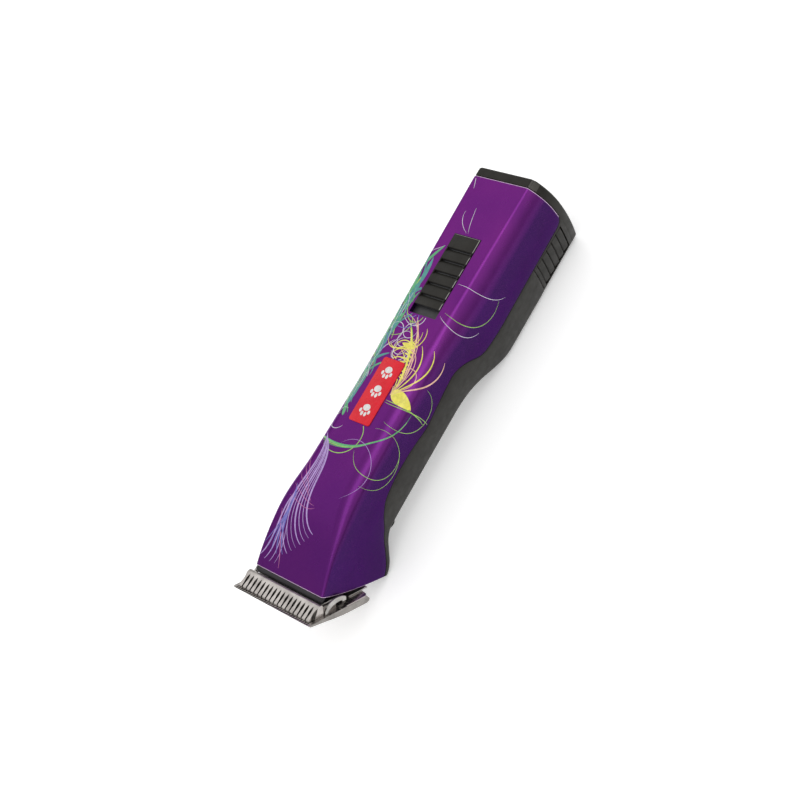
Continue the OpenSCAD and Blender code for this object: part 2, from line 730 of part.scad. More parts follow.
module grip_spring_right() {
  grip_springs(-1);
}

upper_shell();
lower_shell();
nose_frame();
badge();
housing_screws();
gear_frame();
motor_can();
motor_end_bell();
motor_screws();
motor_bushings();
crank_bearings();
lever_pivot_pin();
hinge_base();
hinge_screws();
hinge_pin();
circuit_board();
micro_switch();
terminal_block();
terminal_springs();
motor_shaft();
motor_armature();
pinion_gear();
drive_gear();
crankshaft();
crank_roller();
drive_lever();
lever_bushing();
lever_tip();
hinge_tongue();
comb_blade();
blade_socket();
tension_spring();
blade_screws();
cutter_blade();
cutter_guide();
switch_slider();
battery_case();
battery_lid();
battery_cells();
battery_contacts();
battery_cap();
grip_left();
grip_right();
grip_spring_left();
grip_spring_right();
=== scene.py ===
"""Looks for the pet clipper: smooth shells, detailed blades and grips, materials, light and camera."""

import math

import bmesh
import bpy
from mathutils import Matrix, Vector


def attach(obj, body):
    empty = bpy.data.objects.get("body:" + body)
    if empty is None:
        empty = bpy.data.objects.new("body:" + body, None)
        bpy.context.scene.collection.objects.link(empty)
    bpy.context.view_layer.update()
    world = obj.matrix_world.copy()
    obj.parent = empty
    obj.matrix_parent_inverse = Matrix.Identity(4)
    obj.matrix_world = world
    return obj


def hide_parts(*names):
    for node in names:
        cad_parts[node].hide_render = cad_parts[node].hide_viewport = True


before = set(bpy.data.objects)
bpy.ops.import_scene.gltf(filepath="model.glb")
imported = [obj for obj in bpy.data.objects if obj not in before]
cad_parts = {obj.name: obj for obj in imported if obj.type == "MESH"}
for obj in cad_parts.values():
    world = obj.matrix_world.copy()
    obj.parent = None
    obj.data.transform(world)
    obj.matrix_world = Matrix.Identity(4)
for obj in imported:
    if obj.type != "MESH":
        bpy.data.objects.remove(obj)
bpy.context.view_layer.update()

# ---------------------------------------------------------------- frames
HALF, DROP = 105.0, 38.5
TILT = math.radians(42)
NOSE_X, NOSE_Z, CHIN_X = 12.6, -2.0, 38.0
LEAN = math.atan2(DROP + NOSE_Z, CHIN_X - NOSE_X)


def body(x, y, z):
    """Clipper coordinates in mm: x back from the comb tips, z up from them."""
    return (x, y, z)


def blade(u, y, v):
    """u runs back along the comb, v rises from its top surface."""
    return (u * math.cos(TILT) + v * math.sin(TILT), y, -u * math.sin(TILT) + v * math.cos(TILT))


def head(p, y, z):
    """p runs down the slanted front of the head, z goes into the head."""
    c, s = math.cos(LEAN), math.sin(LEAN)
    return (NOSE_X + p * c + z * s, y, NOSE_Z - p * s + z * c)


def row(p):
    """Clipper coordinates as a point of the frame, in metres."""
    return Vector(((p[0] - HALF) / 1000, p[1] / 1000, (p[2] + DROP) / 1000))


# ---------------------------------------------------------------- outline, as in the CAD source
TOP_H, WALL, SEAM, PLAY = 9.6, 2.0, 0.2, 0.3
LEAN_END, SLOPE_X, CAP_X, SKIRT_X, END_X = 62.0, 50.0, 205.3, 180.0, 210.0
BASE_R = 3.5
RIDGE = [(12, 21.6), (21, 21), (38, 18.6), (52, 16.6), (65, 15.8), (100, 14.6), (130, 14.1), (205, 15.6)]
WAIST = [(12, 21.9), (38, 21.2), (60, 19.4), (90, 18.8), (125, 19), (150, 20.3), (205, 20.8)]
WAIST_AT = [(12, 0.12), (38, 0.2), (60, 0.38), (120, 0.4), (150, 0.33), (205, 0.31)]
BASE = [(12, 15), (38, 14.5), (60, 13.5), (120, 13), (145, 11.8), (205, 11.4)]
SOFT = [(12, 1), (30, 2), (60, 5), (110, 4.5), (140, 1.4), (205, 0.8)]
PARTING = [(12, 0.9), (30, 0.87), (45, 0.79), (54, 0.6), (61, 0.49), (72, 0.44), (84, 0.45), (96, 0.5),
           (108, 0.45), (122, 0.4), (129, 0.46), (136, 0.585), (146, 0.55), (205, 0.51)]
BELLY = [(30, 0), (40.5, 0), (52.2, 12.6), (60, 12), (114, 12), (122, 11), (130, 8), (138, 3.6), (146, 0.2),
         (150, 0), (210, 0)]
CORNER = 4.5  # rounding of the lower rear corner of the upper shell


def mix(a, b, t):
    return a + (b - a) * t


def steps(a, b, n):
    return [mix(a, b, i / n) for i in range(n + 1)]


def lookup(x, table):
    if x <= table[0][0]:
        return table[0][1]
    for (x0, y0), (x1, y1) in zip(table, table[1:]):
        if x <= x1:
            return mix(y0, y1, (x - x0) / (x1 - x0))
    return table[-1][1]


def smooth(x, table, w):
    spread = [-1, -0.75, -0.5, -0.25, 0, 0.25, 0.5, 0.75, 1]
    return sum(lookup(x + w * 1.15 * k, table) for k in spread) / len(spread)


def top_z(x):
    """Height of the top face; the start of its fall towards the nose is eased over a few mm."""
    spread = [k / 3 for k in range(-3, 4)]
    fall = [max(0, SLOPE_X - x - 7 * k) / (SLOPE_X - NOSE_X) for k in spread]
    return TOP_H - (TOP_H - NOSE_Z) * sum(f ** 1.45 for f in fall) / len(fall)


def belly_pt(x):
    bx = x + (CHIN_X - NOSE_X) * max(0, LEAN_END - x) / (LEAN_END - NOSE_X)
    return (bx, -DROP + max(0, smooth(bx, BELLY, 3)))


def depth(x):
    b = belly_pt(x)
    return math.hypot(b[0] - x, b[1] - top_z(x))


def at(x, y, d):
    b, t, h = belly_pt(x), (x, top_z(x)), depth(x)
    return (t[0] + (b[0] - t[0]) / h * d, y, t[1] + (b[1] - t[1]) / h * d)


def half_w(x, d):
    s, sm, b = d / depth(x), smooth(x, WAIST_AT, 4), smooth(x, WAIST, 4)
    if s < sm:
        return b - (b - smooth(x, RIDGE, 4)) * ((sm - s) / sm) ** 2.4
    return b - (b - smooth(x, BASE, 4)) * ((s - sm) / (1 - sm)) ** 1.6


def parting(x):
    p = smooth(x, PARTING, 2.5) * depth(x)
    over = x - (CAP_X - CORNER)
    if over > 0:
        p -= CORNER - math.sqrt(max(0, CORNER ** 2 - min(over, CORNER) ** 2))
    return p


# ---------------------------------------------------------------- mesh helpers
def raw(name, points, faces, marks=None):
    """A mesh object from clipper coordinates; marks gives a material index for some faces."""
    mesh = bpy.data.meshes.new(name)
    mesh.from_pydata([row(p) for p in points], [], faces)
    for i, m in (marks or {}).items():
        mesh.polygons[i].material_index = m
    bm = bmesh.new()
    bm.from_mesh(mesh)
    bmesh.ops.recalc_face_normals(bm, faces=bm.faces)
    bm.to_mesh(mesh)
    bm.free()
    ob = bpy.data.objects.new(name, mesh)
    bpy.context.scene.collection.objects.link(ob)
    return ob


def combine(ob, tool, operation):
    """Exact boolean; the tool is used up."""
    mod = ob.modifiers.new("combine", "BOOLEAN")
    mod.operation, mod.solver, mod.object = operation, "EXACT", tool
    made = bpy.data.meshes.new_from_object(ob.evaluated_get(bpy.context.evaluated_depsgraph_get()))
    ob.modifiers.clear()
    old, ob.data = ob.data, made
    bpy.data.meshes.remove(old)
    bpy.data.objects.remove(tool)
    return ob


def cut(ob, tool):
    return combine(ob, tool, "DIFFERENCE")


def unite(ob, tool):
    return combine(ob, tool, "UNION")


def merged(name, obs):
    """Several separate solids as one mesh object."""
    bm = bmesh.new()
    looks = list(obs[0].data.materials)
    for o in obs:
        bm.from_mesh(o.data)
    mesh = bpy.data.meshes.new(name)
    bm.to_mesh(mesh)
    bm.free()
    for o in obs:
        bpy.data.objects.remove(o)
    ob = bpy.data.objects.new(name, mesh)
    bpy.context.scene.collection.objects.link(ob)
    return with_looks(ob, looks)


def with_looks(ob, materials):
    """Materials set before the booleans, so that they keep each face's own."""
    for m in materials:
        ob.data.materials.append(m)
    return ob


def chamfer(ob, width, segments=2, angle=30, keep=None):
    """Rounds the sharp edges by width, in mm."""
    bm = bmesh.new()
    bm.from_mesh(ob.data)
    bmesh.ops.remove_doubles(bm, verts=bm.verts, dist=2e-6)
    bmesh.ops.dissolve_limit(bm, angle_limit=math.radians(0.5), verts=bm.verts, edges=bm.edges)
    sharp = [e for e in bm.edges if len(e.link_faces) == 2 and e.calc_face_angle(0) > math.radians(angle)
             and (keep is None or keep(e))]
    bmesh.ops.bevel(bm, geom=sharp, offset=width / 1000, offset_type="OFFSET", segments=segments, profile=0.5,
                    affect="EDGES", clamp_overlap=True)
    bm.to_mesh(ob.data)
    bm.free()
    return ob


def done(ob, on, materials, nodes=(), crease=30):
    """Shades the piece, gives it its materials, and puts it on its body."""
    bm = bmesh.new()
    bm.from_mesh(ob.data)
    bmesh.ops.remove_doubles(bm, verts=bm.verts, dist=1e-6)
    bmesh.ops.dissolve_degenerate(bm, dist=1e-7, edges=bm.edges)
    bmesh.ops.recalc_face_normals(bm, faces=bm.faces)
    for f in bm.faces:
        f.smooth = True
    for e in bm.edges:
        e.smooth = len(e.link_faces) != 2 or e.calc_face_angle(0) < math.radians(crease)
    bm.to_mesh(ob.data)
    bm.free()
    index = [f.material_index for f in ob.data.polygons]
    ob.data.materials.clear()
    for m in materials:
        ob.data.materials.append(m)
    ob.data.polygons.foreach_set("material_index", index)
    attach(ob, on)
    if nodes:
        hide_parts(*nodes)
    return ob


def loft(name, rings, caps=True, marks=None):
    """Closed rings, one after another, closed at both ends."""
    n, m = len(rings[0]), len(rings)
    points = [p for r in rings for p in r]
    faces = [(i * n + j, i * n + (j + 1) % n, (i + 1) * n + (j + 1) % n, (i + 1) * n + j)
             for i in range(m - 1) for j in range(n)]
    if caps:
        faces += [tuple(range(n)), tuple((m - 1) * n + j for j in reversed(range(n)))]
    return raw(name, points, faces, marks)


def shell(name, outer, inner, edge_mark=0, first=0, last=0):
    """A skin between outer and inner runs; its first and last outside bands can take another material."""
    n, m = len(outer[0]), len(outer)
    points = [p for o, i in zip(outer, inner) for p in list(o) + list(reversed(i))]
    w = 2 * n
    faces, marks = [], {}
    for i in range(m - 1):
        for j in range(w):
            if j < n - 1 and (i < first or i >= m - 1 - last):
                marks[len(faces)] = edge_mark
            faces.append((i * w + j, i * w + (j + 1) % w, (i + 1) * w + (j + 1) % w, (i + 1) * w + j))
    for o in (0, (m - 1) * w):
        faces += [(o + j, o + j + 1, o + w - 2 - j, o + w - 1 - j) for j in range(n - 1)]
    return raw(name, points, faces, marks)


def prism(name, outline, lo, hi, to):
    """Outline in the first two directions, extruded from lo to hi along the third; to places it."""
    n = len(outline)
    points = [to(a, b, c) for c in (lo, hi) for a, b in outline]
    faces = [tuple(reversed(range(n))), tuple(range(n, 2 * n))]
    faces += [(j, (j + 1) % n, n + (j + 1) % n, n + j) for j in range(n)]
    return raw(name, points, faces)


def across(to):
    """Outline in x and z (or u and v), extruded along y."""
    return lambda a, b, c: to(a, c, b)


def lathe(name, profile, centre, axis, to, n=32):
    """Profile of (distance along the axis, radius), turned about axis x, y or z through centre."""
    rings = []
    for h, r in profile:
        ring = []
        for k in range(n):
            a = 2 * math.pi * k / n
            c, s = r * math.cos(a), r * math.sin(a)
            d = {"x": (h, c, s), "y": (s, h, c), "z": (c, s, h)}[axis]
            ring.append(to(centre[0] + d[0], centre[1] + d[1], centre[2] + d[2]))
        rings.append(ring)
    return loft(name, rings)


def box(name, lo, hi, to=body):
    x0, y0, z0 = lo
    x1, y1, z1 = hi
    return prism(name, [(x0, y0), (x1, y0), (x1, y1), (x0, y1)], z0, z1, to)


def curve_through(points, n):
    """Smooth curve through a few points, n steps between each two."""
    out = []
    for i in range(len(points) - 1):
        p0, p1, p2, p3 = points[max(i - 1, 0)], points[i], points[i + 1], points[min(i + 2, len(points) - 1)]
        for k in range(n):
            t = k / n
            out.append(tuple(0.5 * (2 * b + (c - a) * t + (2 * a - 5 * b + 4 * c - d) * t * t
                                    + (3 * b - a - 3 * c + d) * t ** 3)
                             for a, b, c, d in zip(p0, p1, p2, p3)))
    return out + [tuple(points[-1])]


# ---------------------------------------------------------------- materials
class Shader:
    """Small wrapper round a node material with the object's own coordinates."""

    def __init__(self, name, color, rough, metallic=0.0, **sockets):
        self.m = bpy.data.materials.new(name)
        self.m.use_nodes = True
        self.t = self.m.node_tree
        self.b = self.t.nodes["Principled BSDF"]
        self.b.inputs["Base Color"].default_value = (*color, 1)
        self.b.inputs["Roughness"].default_value = rough
        self.b.inputs["Metallic"].default_value = metallic
        for k, v in sockets.items():
            self.b.inputs[k.replace("_", " ")].default_value = v
        self.co = self.t.nodes.new("ShaderNodeTexCoord").outputs["Object"]

    def node(self, kind, **props):
        n = self.t.nodes.new(kind)
        for k, v in props.items():
            setattr(n, k, v)
        return n

    def link(self, a, b):
        self.t.links.new(a, b)

    def noise(self, size_mm, stretch=(1, 1, 1), detail=3, rough=0.55, turn=(0, 0, 0)):
        """Noise whose features are about size_mm, drawn out along an axis by stretch."""
        mp = self.node("ShaderNodeMapping")
        mp.inputs["Rotation"].default_value = turn
        mp.inputs["Scale"].default_value = [1000 / (size_mm * s) for s in stretch]
        self.link(self.co, mp.inputs["Vector"])
        n = self.node("ShaderNodeTexNoise")
        n.inputs["Scale"].default_value = 1
        n.inputs["Detail"].default_value = detail
        n.inputs["Roughness"].default_value = rough
        self.link(mp.outputs["Vector"], n.inputs["Vector"])
        return n.outputs["Fac"]

    def spread(self, value, lo, hi, a=0.3, b=0.7):
        """Value from a..b mapped onto lo..hi."""
        r = self.node("ShaderNodeMapRange")
        for k, v in zip(("From Min", "From Max", "To Min", "To Max"), (a, b, lo, hi)):
            r.inputs[k].default_value = v
        self.link(value, r.inputs["Value"])
        return r.outputs["Result"]

    def blend(self, value, first, second):
        """Colour mix by value; first and second are colours or outputs."""
        x = self.node("ShaderNodeMix", data_type="RGBA")
        self.link(value, x.inputs["Factor"])
        for k, c in ((6, first), (7, second)):
            if isinstance(c, tuple):
                x.inputs[k].default_value = (*c, 1)
            else:
                self.link(c, x.inputs[k])
        return x.outputs[2]

    def paint(self, output):
        self.link(output, self.b.inputs["Base Color"])
        return self

    def roughen(self, value, lo, hi):
        self.link(self.spread(value, lo, hi), self.b.inputs["Roughness"])
        return self

    def bump(self, value, height_mm, strength=1.0):
        b = self.node("ShaderNodeBump")
        b.inputs["Distance"].default_value = height_mm / 1000
        b.inputs["Strength"].default_value = strength
        self.link(value, b.inputs["Height"])
        self.link(b.outputs["Normal"], self.b.inputs["Normal"])
        return self

    def worn(self, base, light, amount=0.5, lo=0.52, hi=0.6):
        """Lighter along convex edges, broken up by noise."""
        g = self.node("ShaderNodeNewGeometry").outputs["Pointiness"]
        edge = self.spread(g, 0, amount, lo, hi)
        mul = self.node("ShaderNodeMath", operation="MULTIPLY")
        self.link(edge, mul.inputs[0])
        self.link(self.spread(self.noise(2.2), 0.25, 1), mul.inputs[1])
        return self.blend(mul.outputs[0], base, light)


def moulded(name, dark, light, rough=(0.42, 0.58), grain=0.28, height=0.012, edge=None, **sockets):
    """Moulded plastic: mottled tone, spark-eroded grain, edges rubbed a little lighter."""
    s = Shader(name, dark, rough[0], **sockets)
    tone = s.blend(s.spread(s.noise(9, detail=4), 0, 1), dark, light)
    s.paint(s.worn(tone, edge or tuple(min(1, c * 1.8 + 0.01) for c in light)))
    s.roughen(s.noise(3.5, detail=5), *rough)
    return s.bump(s.noise(grain, detail=2), height, 0.5).m


def steel(name, dark, light, rough=(0.16, 0.34), lines=(1, 30, 1), height=0.004, turn=(0, 0, 0), **sockets):
    """Ground steel: fine lines along one direction, faint stains and a soft sheen."""
    s = Shader(name, light, rough[0], 1.0, **sockets)
    grind = s.noise(0.12, lines, detail=3, turn=turn)
    stain = s.noise(5, detail=4)
    tone = s.blend(s.spread(stain, 0, 1, 0.35, 0.75), light, dark)
    s.paint(s.blend(s.spread(grind, 0, 0.35), tone, tuple(c * 0.6 for c in dark)))
    s.roughen(grind, *rough)
    return s.bump(grind, height, 0.4).m


def lacquer():
    """Metallic purple under a clear coat: fine flakes, slow tone changes, hair scratches; painted shade on
    the flanks and towards the head, painted highlight along the ridge.
    """
    s = Shader("lacquer_purple", (0.12, 0.02, 0.2), 0.3, 0.8, Coat_Weight=0.06, Coat_Roughness=0.06,
               Specular_IOR_Level=0.12, Specular_Tint=(0.5, 0.2, 0.62, 1))
    normal = s.node("ShaderNodeNewGeometry").outputs["Normal"]
    split = s.node("ShaderNodeSeparateXYZ")
    s.link(normal, split.inputs[0])
    # painted shade: faces turned sideways fade to a dark indigo
    low = s.spread(split.outputs["Z"], 0, 1, 0.22, 0.6)
    up = s.spread(split.outputs["Z"], 0, 1, 0.8, 0.985)
    where = s.node("ShaderNodeSeparateXYZ")
    s.link(s.co, where.inputs[0])
    # painted shade: the top colour and the painted ridge highlight darken towards the head
    along = s.spread(where.outputs["X"], 0, 1, -0.075, 0.01)
    top = s.blend(along, (0.092, 0.011, 0.135), (0.16, 0.017, 0.19))
    # painted highlight: a brighter purple where the normal lies between top and side
    crest = s.blend(along, (0.105, 0.0145, 0.14), (0.2, 0.027, 0.24))
    # painted shade on the flanks rising into the painted ridge highlight
    ridge = s.blend(low, (0.028, 0.0075, 0.064), crest)
    tone = s.blend(up, ridge, top)
    cloud = s.blend(s.spread(s.noise(26, detail=3), 0, 0.3), tone, (0.06, 0.007, 0.14))
    fleck = s.blend(s.spread(s.noise(0.16, detail=1), 0, 0.3, 0.5, 0.8), cloud, (0.3, 0.06, 0.36))
    s.paint(fleck)
    s.roughen(s.noise(6, detail=2), 0.27, 0.33)
    s.bump(s.noise(0.35, detail=1), 0.0008, 0.4)
    return s.m


def ink(name, color):
    """Printed line under the clear coat; also the painted highlight along the lacquer's front and rear edges.
    """
    s = Shader(name, color, 0.3, 0.0, Coat_Weight=0.4, Coat_Roughness=0.1)
    s.paint(s.blend(s.spread(s.noise(1.4, detail=3), 0, 1), color, tuple(c * 0.72 for c in color)))
    s.roughen(s.noise(2.5), 0.28, 0.42)
    return s.bump(s.noise(0.3), 0.002, 0.3).m


def red_enamel():
    """Glossy red, rubbed paler along the edges."""
    s = Shader("badge_red", (0.64, 0.018, 0.035), 0.25, 0.0, Coat_Weight=0.12, Coat_Roughness=0.08,
               Specular_IOR_Level=0.15)
    tone = s.blend(s.spread(s.noise(6), 0, 1), (0.72, 0.012, 0.028), (0.6, 0.008, 0.02))
    s.paint(s.worn(tone, (0.8, 0.12, 0.12), 0.3))
    s.roughen(s.noise(2), 0.2, 0.34)
    return s.bump(s.noise(0.6), 0.003, 0.3).m


LACQUER = lacquer()
# painted highlight: pale pink on the upper shell's first and last outside bands, at its front and rear edges
EDGE_HIGHLIGHT = ink("lacquer_edge_painted_highlight", (0.72, 0.5, 0.74))
SATIN = moulded("satin_dark", (0.012, 0.011, 0.0085), (0.019, 0.0175, 0.014), (0.4, 0.54),
                Specular_IOR_Level=0.2)
GRIP = moulded("grip_dark", (0.0115, 0.0105, 0.0085), (0.019, 0.0175, 0.0145), (0.42, 0.58), grain=0.35,
               height=0.02, Specular_IOR_Level=0.22)
# painted highlight: lighter grey for the ridge corner of the cap's end
CAP_RIDGE_HIGHLIGHT = moulded("cap_ridge_painted_highlight", (0.045, 0.0425, 0.036), (0.07, 0.067, 0.058), (0.36, 0.5),
                  Specular_IOR_Level=0.3)
# painted highlight: light grey for the switch's -y side and rear top edges and for the grip tops
RIM_HIGHLIGHT = moulded("painted_rim_highlight", (0.2, 0.195, 0.18), (0.3, 0.295, 0.275), (0.3, 0.42))
NOSE = moulded("nose_black", (0.018, 0.0165, 0.019), (0.028, 0.026, 0.029), (0.36, 0.5),
               Specular_IOR_Level=0.3)
RED = red_enamel()
WHITE = ink("badge_white", (0.82, 0.8, 0.78))
BLADE = steel("blade_steel", (0.36, 0.33, 0.31), (0.68, 0.64, 0.61), (0.2, 0.36), (1, 40, 1))
SIDE = steel("blade_side", (0.2, 0.19, 0.175), (0.36, 0.34, 0.32), (0.3, 0.45), (30, 1, 1))
# painted shade: dark steel for the comb's slot walls and the deep ends of the cutter's flutes
GULLET_SHADE = steel("gullet_painted_shade", (0.05, 0.045, 0.04), (0.16, 0.145, 0.13), (0.35, 0.6), (6, 1, 6))
SPRING = steel("spring_steel", (0.3, 0.29, 0.27), (0.52, 0.5, 0.48), (0.24, 0.42), (30, 1, 1))
ZINC = steel("zinc_screw", (0.3, 0.31, 0.32), (0.5, 0.51, 0.52), (0.25, 0.45), (3, 3, 3))
ALLOY = steel("cast_alloy", (0.4, 0.41, 0.43), (0.6, 0.61, 0.63), (0.4, 0.62), (1, 1, 1), 0.02)
MOTOR = steel("motor_steel", (0.36, 0.37, 0.38), (0.55, 0.56, 0.57), (0.26, 0.4), (24, 1, 1))
POLISH = steel("bright_steel", (0.55, 0.56, 0.58), (0.78, 0.79, 0.81), (0.08, 0.2), (2, 12, 2), 0.002)
DARK = steel("dark_steel", (0.07, 0.072, 0.075), (0.17, 0.175, 0.18), (0.34, 0.5), (20, 1, 1))
LEVER = steel("lever_steel", (0.28, 0.29, 0.31), (0.46, 0.47, 0.49), (0.28, 0.44), (30, 1, 1))
BRONZE = steel("bronze", (0.34, 0.2, 0.07), (0.62, 0.42, 0.18), (0.3, 0.5), (2, 2, 2), 0.01)
BRASS = steel("pinion_brass", (0.5, 0.34, 0.1), (0.76, 0.57, 0.24), (0.2, 0.34), (12, 1, 1))
GOLD = steel("gold_contact", (0.6, 0.42, 0.13), (0.83, 0.64, 0.28), (0.16, 0.3), (4, 4, 4))
COPPER = steel("copper_wound", (0.26, 0.1, 0.03), (0.58, 0.27, 0.1), (0.25, 0.45), (1, 60, 60), 0.05)
NYLON = moulded("cream_nylon", (0.66, 0.61, 0.5), (0.8, 0.76, 0.66), (0.34, 0.5), edge=(0.86, 0.83, 0.76),
                Subsurface_Weight=0.15)
# black plastic for the CAD pieces, also painted shade on the switch's flange and groove floors
BLACK_AND_SHADE = moulded("black_plastic", (0.014, 0.014, 0.016), (0.026, 0.026, 0.028), (0.36, 0.52))
BOARD = moulded("board_green", (0.015, 0.11, 0.055), (0.03, 0.17, 0.09), (0.22, 0.36), grain=0.8,
                height=0.006)
SLEEVE = moulded("cell_sleeve", (0.035, 0.17, 0.35), (0.06, 0.26, 0.46), (0.2, 0.34), grain=1.5, height=0.01)

CAD_LOOKS = {
    ZINC: ["housing_screws", "motor_screws", "hinge_screws", "blade_screws"],
    ALLOY: ["gear_frame"],
    MOTOR: ["motor_can"],
    NYLON: ["motor_end_bell", "drive_gear", "lever_tip"],
    BRONZE: ["motor_bushings", "lever_bushing"],
    POLISH: ["crank_bearings", "lever_pivot_pin", "hinge_pin", "motor_shaft", "crankshaft", "crank_roller",
             "grip_spring_left", "grip_spring_right"],
    DARK: ["hinge_base", "hinge_tongue"],
    BOARD: ["circuit_board"],
    BLACK_AND_SHADE: ["micro_switch", "terminal_block", "cutter_guide", "battery_case", "battery_lid"],
    GOLD: ["terminal_springs", "battery_contacts"],
    COPPER: ["motor_armature"],
    BRASS: ["pinion_gear"],
    LEVER: ["drive_lever"],
    SLEEVE: ["battery_cells"],
}
# bevel in mm on the plain CAD pieces
SOFTENED = {"hinge_base": 0.25, "hinge_tongue": 0.25, "cutter_guide": 0.08, "drive_lever": 0.25,
            "gear_frame": 0.3, "battery_case": 0.4, "battery_lid": 0.2, "terminal_block": 0.3,
            "micro_switch": 0.2, "blade_screws": 0.1, "housing_screws": 0.12, "hinge_screws": 0.12,
            "circuit_board": 0.1}
for look, names in CAD_LOOKS.items():
    for n in names:
        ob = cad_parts[n]
        ob.data.materials.clear()
        ob.data.materials.append(look)
        if n in SOFTENED:
            weld = ob.modifiers.new("weld", "WELD")
            weld.merge_threshold = 2e-6
            bev = ob.modifiers.new("soften", "BEVEL")
            bev.width, bev.segments, bev.limit_method = SOFTENED[n] / 1000, 2, "ANGLE"
            bev.angle_limit, bev.use_clamp_overlap = math.radians(38), True

# ---------------------------------------------------------------- shells
ARC_N, FLANK_N, FLAT_N = 10, 22, 5


def ridge_run(x, inset, end, lip=0.0):
    """Points [y, depth] from the middle of the top over the rounded ridge to end; lip rounds that edge."""
    r = smooth(x, SOFT, 5)
    flat = half_w(x, 0) - r - inset
    pts = [(flat * k / FLAT_N, inset) for k in range(FLAT_N)]
    for k in range(ARC_N):
        a = math.pi / 2 * k / ARC_N
        d = r * (1 - math.cos(a))
        pts.append((half_w(x, d) - r * (1 - math.sin(a)) - inset, d + inset))
    for k in range(FLANK_N + 1):
        d = mix(r, end, k / FLANK_N)
        pts.append((half_w(x, d) - inset, max(d, inset + 0.01 * k + r * 0.9)))
    if lip:
        d = pts[-1][1]
        pts[-1] = (half_w(x, d) - inset - lip, d)
        pts[-2] = (half_w(x, d - lip * 0.6) - inset - lip * 0.25, d - lip * 0.6)
        pts[-3] = (half_w(x, d - lip * 1.6) - inset, d - lip * 1.6)
    return pts


def base_run(x, inset, start, lip=0.0):
    """Points [y, depth] from start down the flank, round the bottom edge and in to the middle."""
    h = depth(x)
    pts = []
    for k in range(FLANK_N):
        d = mix(start, h - BASE_R, k / FLANK_N)
        pts.append((half_w(x, d) - inset, d))
    for k in range(ARC_N + 1):
        a = math.pi / 2 * k / ARC_N
        d = h - BASE_R * (1 - math.sin(a))
        pts.append((half_w(x, d) - BASE_R * (1 - math.cos(a)) - inset, d - inset * k / ARC_N))
    flat = pts[-1]
    pts += [(flat[0] * (1 - k / FLAT_N), flat[1]) for k in range(1, FLAT_N + 1)]
    if lip:
        d = pts[0][1]
        pts[0] = (half_w(x, d) - inset - lip, d)
        pts[1] = (half_w(x, d + lip * 0.6) - inset - lip * 0.25, d + lip * 0.6)
        pts[2] = (half_w(x, d + lip * 1.6) - inset, d + lip * 1.6)
    return pts


def over(x, run):
    """Both sides of a run that starts in the middle of the top."""
    return [at(x, -y, d) for y, d in reversed(run[1:])] + [at(x, y, d) for y, d in run]


def under(x, run):
    """Both sides of a run that ends in the middle of the belly."""
    return [at(x, y, d) for y, d in run] + [at(x, -y, d) for y, d in reversed(run[:-1])]


def rounded_ends(xs, r, front=True, rear=True):
    """Stations with an inset that rounds the first and the last edge by r."""
    out = []
    if front:
        out += [(xs[0], r), (xs[0] + r * 0.3, r * 0.3), (xs[0] + r, 0)]
    out += [(x, 0) for x in xs if (not front or x > xs[0] + r * 1.2) and (not rear or x < xs[-1] - r * 1.2)]
    if rear:
        out += [(xs[-1] - r, 0), (xs[-1] - r * 0.3, r * 0.3), (xs[-1], r)]
    return out


HANDLE_X = steps(NOSE_X, LEAN_END, 54)[:-1] + steps(LEAN_END, 120, 42)[:-1] + steps(120, 150, 36)[:-1]
SHELL_X = HANDLE_X + steps(150, 200, 26)[:-1] + steps(200, CAP_X, 14)
LOW_X = HANDLE_X + steps(150, SKIRT_X, 12)

SCREWS = [(56, 11), (56, -11), (125, 9), (125, -9)]
SWITCH_X, SWITCH_L, SWITCH_W, TRAVEL, MARGIN = 141.2, 35.2, 15.2, 4.0, 0.35
BOSS_R, BOSS_END = 3.0, -8
SWITCH_HALF, SWITCH_END, INSIDE = SWITCH_W / 2, SWITCH_X + SWITCH_L, TOP_H - WALL

st = rounded_ends(SHELL_X, 0.4)
# the first and last two outside bands carry the painted edge highlight
upper = shell("upper_shell_skin",
              [over(x, ridge_run(x, i, parting(x) - SEAM / 2, 0.22)) for x, i in st],
              [over(x, ridge_run(x, WALL, parting(x) - SEAM / 2)) for x, i in st], 1, 2, 2)
with_looks(upper, [LACQUER, EDGE_HIGHLIGHT])
for x, y in SCREWS:
    unite(upper, lathe("boss", [(BOSS_END, BOSS_R), (INSIDE + 0.5, BOSS_R)], (x, y, 0), "z", body, 24))
    cut(upper, lathe("hole", [(-9, 1.25), (2.8, 1.25)], (x, y, 0), "z", body, 20))
cut(upper, box("window", (SWITCH_X - TRAVEL - MARGIN, -SWITCH_HALF - MARGIN, INSIDE - 1),
               (SWITCH_END + MARGIN, SWITCH_HALF + MARGIN, TOP_H + 1)))
done(upper, "housing", [LACQUER, EDGE_HIGHLIGHT], ["upper_shell"], 32)

st = rounded_ends(LOW_X, 0.3)
lower = shell("lower_shell_skin",
              [under(x, base_run(x, i, parting(x) + SEAM / 2, 0.22)) for x, i in st],
              [under(x, base_run(x, WALL, parting(x) + SEAM / 2)) for x, i in st])
for x, y in SCREWS:
    floor_z = belly_pt(x)[1] if x > LEAN_END else -DROP + smooth(x, BELLY, 3)
    post = [(floor_z + 0.7, BOSS_R), (BOSS_END - SEAM, BOSS_R)]
    unite(lower, lathe("boss", post, (x, y, 0), "z", body, 24))
    stepped = [(floor_z - 2, 2.6), (floor_z + 3.4, 2.6), (floor_z + 3.4, 1.4), (0, 1.4)]
    cut(lower, lathe("hole", stepped, (x, y, 0), "z", body, 28))
for x in (84, 106):
    saddle = box("saddle", (x, -9, belly_pt(x)[1] + 1.4), (x + 3, 9, -15))
    cut(saddle, lathe("seat", [(x - 1, 12.25), (x + 5, 12.25)], (0, 0, -9), "x", body, 48))
    unite(lower, saddle)
done(lower, "housing", [SATIN], ["lower_shell"], 32)

